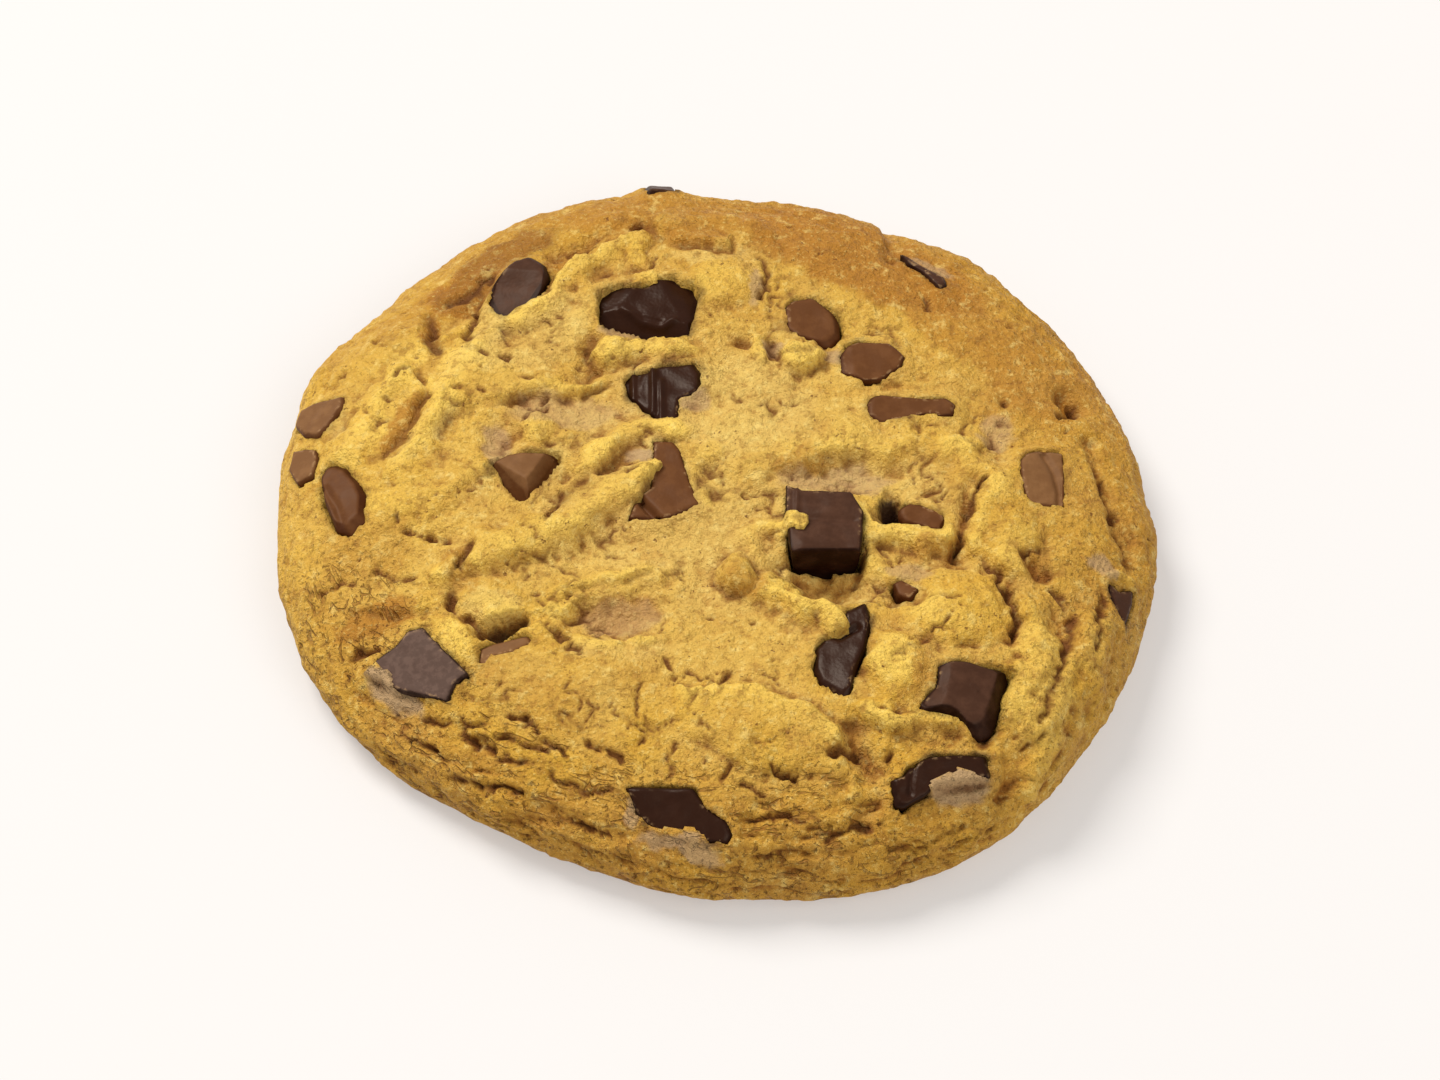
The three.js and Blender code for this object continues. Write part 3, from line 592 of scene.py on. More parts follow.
@dataclass(frozen=True)
class FoldMap:
    """The dough's forms: the large ones that its solid has, and the finer ones on them."""

    waves: tuple[tuple[float, float], ...] = ((11, 0.8), (5.2, 0.4))
    steep_share: float = 0.5
    highest: float = 2.2
    crests: tuple[Crest, ...] = (
        Crest(((-7.3, 1.4), (-9, 0.3), (-12, -3), (-15, -5), (-21, -7.8), (-24, -9.3)),
              2.5, 2.3, Side.LEFT, True),
        Crest(((-4.5, 7.2), (-7, 8), (-9.5, 6.5), (-12.6, 3.4)), 1.5, 1.6, Side.LEFT, True),
        Crest(((-11.6, 17.8), (-7.5, 17.8), (-3.3, 17.7)), 1.4, 1.6, Side.RIGHT, True),
        Crest(((3, -5.5), (4, -8)), 1.2, 1.0),
        Crest(((5.5, -12), (8, -14), (10.8, -16.3)), 1.7, 1.8, Side.RIGHT, True),
        Crest(((4, 3.2), (10, 5.5), (15, 6.7), (22, 6)), 3.2, 1.1, Side.RIGHT),
        Crest(((14.2, -3.8), (16, -5.8), (18.4, -5.2), (20.4, -6.3), (22.2, -5.6)), 2.1, 1.7,
              Side.RIGHT),
        Crest(((14.5, -27), (18.5, -27.8), (23.3, -26.6)), 1.5, 1.6, Side.RIGHT),
        Crest(((-5.5, 35), (-1.5, 35.8), (2.5, 34.8)), 2.2, 1.3, Side.RIGHT),
        Crest(((-36.5, 6), (-34.5, 10.5), (-31.5, 15)), 2.2, 1.2, Side.RIGHT),
        Crest(((-30, 3), (-28.6, 8), (-27, 12)), 2.2, 1.3, Side.RIGHT),
        Crest(((-16, -14), (-10, -11.5), (-6, -10.4)), 1.6, 0.6, Side.RIGHT),
        Crest(((30.3, -14), (31, -18), (30.8, -22), (29, -26)), 1.7, 1.3),
        Crest(((36.5, -14), (35, -18), (32.5, -22)), 1.8, 1.5),
        Crest(((24.6, 4), (27.5, 0.5), (29, -4), (28.5, -8)), 2.6, 1.4),
    )
    mounds: tuple[Mound, ...] = (
        Mound((1.8, -10.2), (2.4, 2.3), 0, 1.9, 0.6),
        Mound((-7.4, 1.5), (1.5, 1.4), 0, 1.2, 0.7, True),
        Mound((-3.2, 17.8), (1.5, 1.4), 0, 0.9, 0.7, True),
        Mound((11.2, -16.8), (1.9, 1.7), 0, 1.2, 0.7, True),
        Mound((23.5, -14), (5.9, 5.4), 0, 1.8, 0.7),
        Mound((17.6, -21), (2.6, 4.6), 8, 1.5, 0.8),
        Mound((8.4, 17.4), (2.4, 2.2), 0, 1.4, 0.8),
        Mound((0.4, 27.4), (3.4, 3.8), 0, 1.0, 0.8),
        Mound((-1.2, 4.7), (1.9, 1.7), 0, 0.8, 1.0),
        Mound((4.6, -28.4), (10, 4.6), -22, 1.3, 0.5),
        Mound((-33, 19), (6, 5), 40, 0.7, 1.2),
        Mound((13, 2.4), (7, 2.6), 6, -1.3, 1.2),
        Mound((10.6, -10.8), (6.4, 4.8), 0, -3.0, 1.5),
        Mound((17.2, -2.2), (2.2, 2.2), 0, -2.4, 0.9),
        Mound((-21.6, 6.4), (2.6, 3.6), 20, -1.4, 1.2),
        Mound((-9.5, -15.2), (6, 3.4), 12, -1.7, 1.1),
        Mound((-20.8, -16.2), (3.4, 1.8), 15, -1.8, 1.0),
        Mound((18.3, -12.2), (2.8, 2.4), 0, -1.5, 1.0),
        Mound((12.2, -21), (2.8, 5.2), 10, -1.2, 1.0),
        Mound((-36.6, 0.6), (2.6, 5.4), 20, -0.9, 1.2),
        Mound((35.4, 14.2), (1.9, 2.6), 0, -1.6, 1.0),
        Mound((27.8, 6.6), (2.4, 4.2), 0, -0.9, 1.3),
        Mound((31.4, -8.9), (2.0, 1.5), 0, -1.3, 1.0),
    )
    cracks: tuple[Crack, ...] = (
        Crack(((26.5, 1.5), (25.2, -1.5), (24.3, -4.5), (23.2, -7.8)), 0.9, 0.9),
        Crack(((26.5, -9), (28.5, -12), (29, -15), (29.9, -20)), 1.1, 0.8),
        Crack(((33, -14), (33.5, -18), (31.8, -21.5)), 1.0, 0.7),
        Crack(((37, 9), (38.6, 3), (39.3, -0.5), (41, -4.5)), 1.0, 1.1),
        Crack(((13.2, -28), (15.2, -32.5), (15, -36), (13.5, -38)), 1.1, 1.2),
        Crack(((-16, 31.8), (-12.5, 33.7), (-8, 34.8)), 1.1, 1.1),
        Crack(((-28, 21.5), (-24.6, 24.7), (-22.5, 28)), 1.0, 1.0),
        Crack(((-29.3, 12), (-30.5, 9.5), (-32.5, 6.5)), 1.1, 0.4),
        Crack(((-33.5, -23.5), (-31.5, -24.8), (-26.5, -26.5), (-21.5, -29.2)), 1.0, 0.4),
        Crack(((-20, -25.8), (-16.5, -28.9), (-12.5, -29.8), (-9, -31)), 1.0, 0.4),
        Crack(((-24.8, -8.6), (-26, -12.5), (-24, -15)), 1.0, 0.6),
        Crack(((16.5, 42), (17.6, 38), (18.4, 33)), 1.2, 1.3),
        Crack(((-12.8, 19.5), (-12.9, 14.5)), 1.0, 1.0),
    )
    fine_crests: tuple[Crest, ...] = (
        Crest(((-19.6, 22.4), (-17.2, 25), (-15.6, 28.2), (-12.5, 31), (-9.2, 33.6)), 1.3, 1.1),
        Crest(((-13.3, 29.5), (-13.5, 26), (-13.3, 22.8)), 1.0, 0.6),
        Crest(((-3.4, 5.4), (-2.5, 1.6), (-1.2, -1.6)), 0.8, 0.6, Side.RIGHT),
        Crest(((28.8, 3), (27, 1.6), (25.8, -1.5), (24.9, -5), (25, -7.6)), 1.0, 0.8, Side.RIGHT),
        Crest(((28.9, -21.6), (28.1, -25), (27.2, -29)), 0.9, 0.9),
        Crest(((-1.1, 26.4), (0.2, 24.6), (-0.4, 22.8)), 0.6, 0.6),
        Crest(((12.2, -13.6), (13.6, -11), (15.6, -9)), 1.0, 0.9, Side.LEFT),
        Crest(((4.8, -11.2), (7.4, -13.8), (9.8, -16.2), (11.4, -17.2)), 1.3, 1.3, over=True),
        Crest(((4.6, -3.9), (6.6, -4.3), (8.2, -4.8)), 0.8, 1.3, over=True),
        Crest(((-33, 2), (-30.6, 5), (-28.3, 9), (-26, 11.4)), 1.0, 0.9, Side.LEFT),
        Crest(((-35.2, 4.6), (-33.6, 9.4), (-31.2, 15)), 0.9, 0.7, Side.RIGHT),
        Crest(((-27.5, 12.5), (-25.4, 17), (-22.6, 21), (-19.5, 24.5)), 1.7, 1.0, Side.LEFT),
        Crest(((-34, -3), (-29, -1.5), (-25, 1), (-22.5, 3)), 2.0, 0.7, Side.RIGHT),
        Crest(((15.6, -17.6), (15.7, -21), (16.4, -25)), 0.8, 0.5),
        Crest(((38.4, -12.5), (36.2, -18), (33.2, -23), (31.2, -28), (30.2, -31.5)), 1.5, 1.1),
        Crest(((31.9, -16.4), (30.3, -20.5), (29.8, -24.5), (27.9, -30.5)), 1.2, 0.9),
        Crest(((38.6, -8.6), (39.6, -7.4), (40.8, -8)), 0.6, 0.8, over=True),
        Crest(((24.2, -27.2), (24.9, -29.5)), 0.7, 0.5),
    )
    fine_mounds: tuple[Mound, ...] = (
        Mound((-20.6, -15.9), (2.6, 0.9), 18, -1.1, 0.6),
        Mound((17.0, -0.8), (1.3, 1.5), 20, -1.6, 0.6),
        Mound((-7.8, 31), (1.5, 2.3), 0, 0.9, 0.6),
        Mound((-7.6, 27.3), (1.3, 0.9), 0, 1.1, 0.6, True),
        Mound((-10.7, 17.7), (2.1, 1.8), 0, 0.8, 0.6, True),
        Mound((-11.6, 5.2), (1.8, 1.3), 25, 0.6, 0.7),
        Mound((-25.6, -17.6), (2.1, 3.4), 8, 1.0, 0.5),
        Mound((-21.8, -13), (3.4, 2.5), -8, 0.4, 0.5),
        Mound((17.6, -20.6), (2.2, 3.4), 8, 0.6, 0.8),
        Mound((1.8, -10.4), (2.1, 1.9), 0, 0.9, 0.5),
        Mound((8.3, 16.8), (2.0, 1.9), 0, 0.9, 0.6),
        Mound((1.5, 8.5), (4.5, 3.4), 20, 0.7, 0.9),
        Mound((23.4, -33), (3.4, 1.2), 8, 0.2, 1.0, True),
        Mound((-31.4, -21.6), (4, 1.0), -41, 0.2, 1.0, True),
        Mound((-3.5, -38.9), (4.4, 0.6), -12, 0.2, 1.0, True),
        Mound((-11.6, -18.4), (2.8, 1.5), -10, 0.7, 0.6),
        Mound((-7, -18.2), (1.8, 1.3), 0, 0.6, 0.6),
        Mound((4, 18.4), (1.2, 2.0), -10, 0.7, 0.6),
        Mound((5.6, 18.2), (0.9, 1.7), -15, -0.9, 1.0),
        Mound((2, 19.1), (1.2, 1.2), 0, -0.7, 1.0),
        Mound((14.3, -34.6), (1.2, 2.1), 5, 0.6, 0.6),
        Mound((-19, 11.4), (3, 1.8), 12, -0.8, 1.0),
        Mound((-17.4, 8), (2.4, 1.8), 10, 1.2, 0.7, True),
        Mound((-14.2, 7), (1.8, 1.4), 0, 0.9, 0.7),
        Mound((-22, 5.4), (1.2, 1.8), 20, 0.4, 0.8, True),
        Mound((-13.6, 0.9), (3.2, 1.7), 40, 0.9, 0.8),
        Mound((-24.5, 14.5), (6, 4), 30, 0.7, 0.8),
        Mound((-13, 23), (5, 4), 60, 0.6, 0.8),
    )
    ledges: tuple[Ledge, ...] = (
        Ledge(((-5.2, 32.5), (-2, 32.2), (1.4, 32.3), (1.8, 34)), 1.1, 3.4, Side.LEFT),
        Ledge(((-30.2, 17), (-29.6, 12.8), (-30.7, 8.6), (-33.2, 4.6)), 0.8, 4.6, Side.RIGHT),
        Ledge(((26.3, 3), (25.6, 0.5), (24.6, -3), (23.8, -5.2), (23.4, -8)), 0.8, 4.0, Side.LEFT),
        Ledge(((-22.8, 10.5), (-18, 12.8), (-13, 12.4), (-9.5, 14.5)), 0.7, 3.0, Side.LEFT),
        Ledge(((-19.4, 22.6), (-17.4, 25.2), (-15.8, 28.6), (-12.4, 31.4), (-8.8, 34.6)), 0.8,
              4.0, Side.RIGHT),
        Ledge(((-5, -23.8), (0, -24), (5, -24.2), (8.5, -26), (11.4, -28), (13.1, -29.8),
               (11.8, -31.2)), 0.7, 4.0, Side.RIGHT),
        Ledge(((-37, -12.4), (-33, -12.8), (-29, -13.6), (-26.6, -13.2)), 0.5, 3.0, Side.LEFT),
        Ledge(((-16.5, -13.2), (-10, -11), (-5.5, -9.8)), 0.6, 5.0, Side.LEFT),
    )
    fine_cracks: tuple[Crack, ...] = tuple(
        Crack(path, width, depth)
        for (width, depth), paths in FINE_CRACKS.items()
        for path in paths
    )


@dataclass(frozen=True)
class Relief:
    """Reads the fold map at surface points. The patterns make its drawn forms irregular."""

    form: CookieForm
    folds: FoldMap
    loosened: tuple[Pattern, ...] = (Pattern(3.8, 0.9, 31), Pattern(1.4, 0.4, 37))
    crest_margin: float = 3  # in widths
    crest_flank: Ramp = Ramp(-0.3, 0.6)
    crest_width: Pattern = Pattern(3.6, 0.4, 43)
    crest_height: Pattern = Pattern(4.5, 0.45, 45)
    mean_height: float = 0.9
    soft_share: float = 0.6
    firm_width: float = 1.4
    firm_power: float = 0.7
    crest_laps: Ramp = Ramp(0.3, 0.6)
    mound_laps: Ramp = Ramp(0.1, 0.4)
    ledge_margin: float = 1.2  # in reaches
    ledge_face: Ramp = Ramp(-0.2, 0.25)
    ledge_ends: Ramp = Ramp(0, 1.6)
    groove_away: float = 0.45
    groove_width: float = 0.4
    groove_depth: float = 0.35
    crack_margin: float = 2  # in widths
    crack_width: float = 0.95
    crack_depth: float = 1.6
    crack_loosened: Pattern = Pattern(1.2, 0.55, 41)
    crack_uneven: Pattern = Pattern(1.6, 0.4, 47)
    crack_mean: float = 0.85
    crack_limits: tuple[float, float] = (0.5, 1.2)

    @staticmethod
    def to_path(points: Points, normals: Points, path: Points) -> tuple[Array, ...]:
        """Measures from surface points to a path.

        Args:
            points: the surface points.
            normals: the outward normals there.
            path: the path's corners.

        Returns:
            The distance to the path; how squarely the point lies on its left, from -1 to 1; and
            how far along the path its nearest point is from the nearer end.
        """
        best = np.full(len(points), FAR)
        lean = np.zeros(len(points))
        along = np.zeros(len(points))
        start_at = 0.0
        for start, end in zip(path[:-1], path[1:]):
            run = end - start
            length = np.linalg.norm(run)
            offset = points - start
            share = np.clip(offset @ run / length**2, 0, 1)
            gap = offset - share[:, None] * run
            away = np.linalg.norm(gap, axis=1)
            turn = np.einsum("ij,ij->i", np.cross(run, offset), normals)
            closer = away < best
            lean = np.where(closer, turn / (length * np.maximum(away, TINY)), lean)
            along = np.where(closer, start_at + share * length, along)
            best = np.where(closer, away, best)
            start_at += length
        return best, lean, np.minimum(along, start_at - along)

    @staticmethod
    def within(points: Points, path: Points, reach: float) -> Array:
        """Returns which points are in the path's box widened by a reach."""
        low, high = path.min(0) - reach, path.max(0) + reach
        return np.all((points > low) & (points < high), axis=1)

    def crest(self, points: Points, normals: Points, crest: Crest) -> Array:
        """Reads one crest.

        Args:
            points: the surface points.
            normals: the outward normals there.
            crest: the crest.

        Returns:
            The share, from 0 to 1, of its height at each point.
        """
        path = self.form.laid(crest.path)
        near = self.within(points, path, crest.width * self.crest_margin)
        away, lean, _ = self.to_path(points[near], normals[near], path)
        side = crest.steep.value
        steep = self.crest_flank.at(lean * side) if side else 0
        share = away / (crest.width * (1 - (1 - self.folds.steep_share) * steep))
        share /= 1 + self.crest_width.read(points[near])
        firm = np.clip(1 - (share / self.firm_width) ** 2, 0, 1) ** self.firm_power
        uneven = self.mean_height + self.crest_height.read(points[near])
        total = np.zeros(len(points))
        total[near] = (self.soft_share * bell(share) + (1 - self.soft_share) * firm) * uneven
        return total

    def ledge(self, points: Points, normals: Points, ledge: Ledge) -> Array:
        """Reads one ledge, with the groove at its foot.

        Args:
            points: the surface points.
            normals: the outward normals there.
            ledge: the ledge.

        Returns:
            The height that it adds at each point.
        """
        path = self.form.laid(ledge.path)
        near = self.within(points, path, ledge.reach * self.ledge_margin)
        away, lean, along = self.to_path(points[near], normals[near], path)
        inward = away * lean * ledge.high.value
        top = self.ledge_face.at(inward) * (1 - Ramp(0, ledge.reach).at(away))
        groove = bell((inward + self.groove_away) / self.groove_width) * self.groove_depth
        total = np.zeros(len(points))
        total[near] = ledge.height * (top - groove) * self.ledge_ends.at(along)
        return total

    def crack(self, points: Points, normals: Points, crack: Crack) -> Array:
        """Reads one fine crack.

        Args:
            points: the surface points.
            normals: the outward normals there.
            crack: the crack.

        Returns:
            Its depth at each point.
        """
        path = self.form.laid(crack.path)
        near = self.within(points, path, crack.width * self.crack_margin)
        away, _, _ = self.to_path(points[near], normals[near], path)
        total = np.zeros(len(points))
        open_share = np.clip(1 - away / (self.crack_width * crack.width), 0, 1)
        total[near] = self.crack_depth * crack.depth * open_share
        return total

    def mound(self, points: Points, mound: Mound) -> Array:
        """Reads one lump.

        Args:
            points: the surface points.
            mound: the lump.

        Returns:
            The share, from 0 to 1, of its height at each point.
        """
        centre = self.form.laid((mound.at,))[0]
        turn = math.radians(mound.turn)
        offset = points - centre
        along = offset[:, 0] * math.cos(turn) + offset[:, 1] * math.sin(turn)
        across = -offset[:, 0] * math.sin(turn) + offset[:, 1] * math.cos(turn)
        share = np.sqrt(
            (along / mound.size[0]) ** 2
            + (across / mound.size[1]) ** 2
            + (offset[:, 2] / max(mound.size)) ** 2
        )
        return np.clip(1 - share**2, 0, 1) ** mound.edge

    def large(self, points: Points, normals: Points) -> tuple[Array, ...]:
        """Reads all the drawn forms.

        Args:
            points: the smooth surface's points.
            normals: the outward normals there.

        Returns:
            The height of the forms, the share by which dough lies over the chocolate, and how
            thickly it does.
        """
        folds = self.folds
        loose = points
        for pattern in self.loosened:
            loose = pattern.push(loose)
        height = np.zeros(len(points))
        cover = np.zeros(len(points))
        thick = np.zeros(len(points))
        for length, rise in folds.waves:
            height += rise * Grain.value(points, length)
        for form in folds.crests + folds.fine_crests + folds.mounds + folds.fine_mounds:
            if isinstance(form, Crest):
                share, laps = self.crest(loose, normals, form), self.crest_laps
            else:
                share, laps = self.mound(loose, form), self.mound_laps
            height += form.height * share
            if form.over:
                cover = np.maximum(cover, laps.at(share))
                thick = np.maximum(thick, form.height * share)
        for crack in folds.cracks:
            height -= crack.depth * self.crest(loose, normals, Crest(crack.path, crack.width, 1))
        for ledge in folds.ledges:
            height += self.ledge(loose, normals, ledge)
        height = np.where(height > 0, folds.highest * np.tanh(height / folds.highest), height)
        return height, cover, thick

    def cracks(self, points: Points, normals: Points) -> Array:
        """Reads all the fine cracks.

        Args:
            points: the surface points.
            normals: the outward normals there.

        Returns:
            Their depth at each point.
        """
        loose = self.crack_loosened.push(points)
        depth = np.zeros(len(points))
        for crack in self.folds.fine_cracks:
            depth = np.maximum(depth, self.crack(loose, normals, crack))
        uneven = self.crack_mean + self.crack_uneven.read(points)
        return depth * np.clip(uneven, *self.crack_limits)


# ---- chunks
@dataclass
class ChunkSeat:
    """Where a chunk sits, read from its solid: its own plane and its outline in that plane."""

    origin: Array
    upright: Array
    across: Array
    along: Array
    segments: Array
    top: float

    LOOKS_OUT = 0.85  # how squarely a face looks out of the cookie, at least
    LEAST_RISE = 1e-9

    @classmethod
    def of(cls, node: bpy.types.Object, form: CookieForm) -> ChunkSeat:
        """Reads the seat of a CAD chunk.

        Args:
            node: the CAD chunk's object.
            form: the smooth cookie that it sits in.

        Returns:
            The seat. Its outline is the ring of edges between upper and lower faces.
        """
        shape = bmesh.new()
        shape.from_mesh(node.data)
        bmesh.ops.remove_doubles(shape, verts=shape.verts, dist=WELD)
        shape.normal_update()
        places = np.array([v.co for v in shape.verts]) / METRES - RIM_CENTRE
        middle = places.mean(0)
        upright = cls.upper_normal(shape, form.outward(middle[0], middle[1]))
        edges = []
        for edge in shape.edges:
            facing = [face.normal.dot(Vector(upright)) for face in edge.link_faces]
            if len(facing) == 2 and facing[0] * facing[1] < 0:
                edges.append([np.array(v.co) / METRES - RIM_CENTRE for v in edge.verts])
        corners = np.array(edges)
        origin = corners.reshape(-1, 3).mean(0)
        shape.free()
        across = np.cross([0.0, 1.0, 0.0], upright)
        across /= np.linalg.norm(across)
        along = np.cross(upright, across)
        flat = (corners - origin) @ np.array([across, along]).T
        return cls(origin, upright, across, along, flat, float(((places - origin) @ upright).max()))

    @classmethod
    def upper_normal(cls, shape: bmesh.types.BMesh, outward: Array) -> Array:
        """Finds the chunk's own plane.

        Args:
            shape: the chunk's mesh.
            outward: the way out of the cookie.

        Returns:
            The normal of its largest face that looks that way.
        """
        flat: dict[tuple[float, ...], float] = {}
        for face in shape.faces:
            if face.normal.dot(Vector(outward)) > cls.LOOKS_OUT:
                key = tuple(round(c, 2) for c in face.normal)
                flat[key] = flat.get(key, 0.0) + face.calc_area()
        best = np.array(max(flat, key=lambda key: flat[key]))
        return best / np.linalg.norm(best)

    def flat(self, points: Points) -> Points:
        """Returns points as offsets across, along and above the chunk's plane."""
        return (points - self.origin) @ np.array([self.across, self.along, self.upright]).T

    def signed(self, points: Points) -> tuple[Array, Points]:
        """Measures points against the outline.

        Args:
            points: where to measure.

        Returns:
            The distance to the outline in the chunk's plane, negative inside it, and the points
            in the chunk's own plane.
        """
        flat = self.flat(points)
        best = np.full(len(points), FAR)
        crossings = np.zeros(len(points), int)
        for start, end in self.segments:
            run = end - start
            share = np.clip((flat[:, :2] - start) @ run / (run @ run), 0, 1)
            away = np.linalg.norm(flat[:, :2] - start - share[:, None] * run, axis=1)
            best = np.minimum(best, away)
            spans = (start[1] > flat[:, 1]) != (end[1] > flat[:, 1])
            rise = run[1] if abs(run[1]) > self.LEAST_RISE else self.LEAST_RISE
            meets = start[0] + (flat[:, 1] - start[1]) * run[0] / rise
            crossings += spans & (flat[:, 0] < meets)
        return np.where(crossings % 2 == 1, -best, best), flat


# ---- shaders
@dataclass(frozen=True)
class Speckle:
    """Noise in a finish: its size in mm, its finer layers, and the range of it that shows."""

    length: float
    detail: float
    rough: float = 0.55
    shows: Ramp = Ramp(0, 1)


class Graph:
    """A short way to write a material's nodes."""

    MIX_UNDER = 6  # the Mix node's colour sockets, whose names it shares with other kinds
    MIX_OVER = 7
    MIX_RESULT = 2

    def __init__(self, name: str) -> None:
        """Starts a material with only its output and its shader.

        Args:
            name: the material's name.
        """
        self.material = bpy.data.materials.new(name)
        self.material.use_nodes = True
        self.tree = self.material.node_tree
        self.tree.nodes.clear()
        self.output = self.tree.nodes.new("ShaderNodeOutputMaterial")
        self.shader = self.tree.nodes.new("ShaderNodeBsdfPrincipled")
        self.link(self.shader.outputs[0], self.output.inputs["Surface"])
        self.place = self.tree.nodes.new("ShaderNodeTexCoord").outputs["Object"]
        self.made: dict[tuple[float, ...], Socket] = {}

    def link(self, source: Socket, target: Socket) -> None:
        """Joins two sockets."""
        self.tree.links.new(source, target)

    def feed(self, target: Socket, value: object) -> None:
        """Links a socket to another one, or sets its value."""
        if isinstance(value, Socket):
            self.link(value, target)
        else:
            target.default_value = value

    def attribute(self, name: str, output: str = "Fac") -> Socket:
        """Reads a mesh attribute.

        Args:
            name: the attribute's name.
            output: "Fac" for its value, or "Vector".

        Returns:
            The socket that gives it.
        """
        node = self.tree.nodes.new("ShaderNodeAttribute")
        node.attribute_name = name
        return node.outputs[output]

    def noise(self, speckle: Speckle, place: Socket | None = None) -> Socket:
        """Makes a speckle's noise, or finds it where it is made already.

        Args:
            speckle: its size and its finer layers.
            place: where it is read; the object's own coordinates if nothing is given.

        Returns:
            A value from 0 to 1.
        """
        key = (speckle.length, speckle.detail, speckle.rough)
        if place is None and key in self.made:
            return self.made[key]
        node = self.tree.nodes.new("ShaderNodeTexNoise")
        self.link(place or self.place, node.inputs["Vector"])
        node.inputs["Scale"].default_value = 1 / (speckle.length * METRES)
        node.inputs["Detail"].default_value = speckle.detail
        node.inputs["Roughness"].default_value = speckle.rough
        if place is None:
            self.made[key] = node.outputs["Fac"]
        return node.outputs["Fac"]

    def speckle(self, speckle: Speckle) -> Socket:
        """Reads the part of a speckle's noise that shows.

        Args:
            speckle: the noise, and the range of it that shows.

        Returns:
            A value from 0 to its ramp's gain.
        """
        shown = self.between(self.noise(speckle), speckle.shows)
        gain = speckle.shows.gain
        return shown if gain == 1 else self.calc("MULTIPLY", shown, gain)

    def between(self, value: Socket, ramp: Ramp) -> Socket:
        """Maps a value over a ramp.

        Args:
            value: the value.
            ramp: where it starts and ends.

        Returns:
            A value from 0 to 1.
        """
        node = self.tree.nodes.new("ShaderNodeMapRange")
        node.interpolation_type = "SMOOTHSTEP"
        self.link(value, node.inputs["Value"])
        node.inputs["From Min"].default_value = ramp.low
        node.inputs["From Max"].default_value = ramp.high
        return node.outputs["Result"]

    def calc(self, operation: str, first: object, second: object = 0.0) -> Socket:
        """Makes a Math node.

        Args:
            operation: what it does.
            first: a value or a socket.
            second: another one.

        Returns:
            Its result.
        """
        node = self.tree.nodes.new("ShaderNodeMath")
        node.operation = operation
        self.feed(node.inputs[0], first)
        self.feed(node.inputs[1], second)
        return node.outputs[0]

    def tint(self, share: object, under: object, colour: Colour) -> Socket:
        """Mixes a plain colour into another one.

        Args:
            share: how much of it there is.
            under: the other colour.
            colour: the plain colour.

        Returns:
            The mixed colour.
        """
        node = self.tree.nodes.new("ShaderNodeMix")
        node.data_type = "RGBA"
        self.feed(node.inputs["Factor"], share)
        self.feed(node.inputs[self.MIX_UNDER], under)
        self.feed(node.inputs[self.MIX_OVER], linear(colour))
        return node.outputs[self.MIX_RESULT]

    def bump(self, height: Socket, depth: float, strength: float) -> None:
        """Roughens the shader's normal.

        Args:
            height: the pattern, from 0 to 1.
            depth: how deep it goes, in mm.
            strength: how much of it shows.
        """
        node = self.tree.nodes.new("ShaderNodeBump")
        node.inputs["Distance"].default_value = depth * METRES
        node.inputs["Strength"].default_value = strength
        self.link(height, node.inputs["Height"])
        self.link(node.outputs["Normal"], self.shader.inputs["Normal"])


def linear(colour: Colour) -> tuple[float, float, float, float]:
    """Turns screen values into a shader colour, by the screen's own curve.

    Args:
        colour: red, green and blue from 0 to 255.

    Returns:
        Linear shares, and a full alpha.
    """
    shares = [c / 255 for c in colour]
    spread = [s / 12.92 if s <= 0.04045 else ((s + 0.055) / 1.055) ** 2.4 for s in shares]
    return (*spread, 1.0)


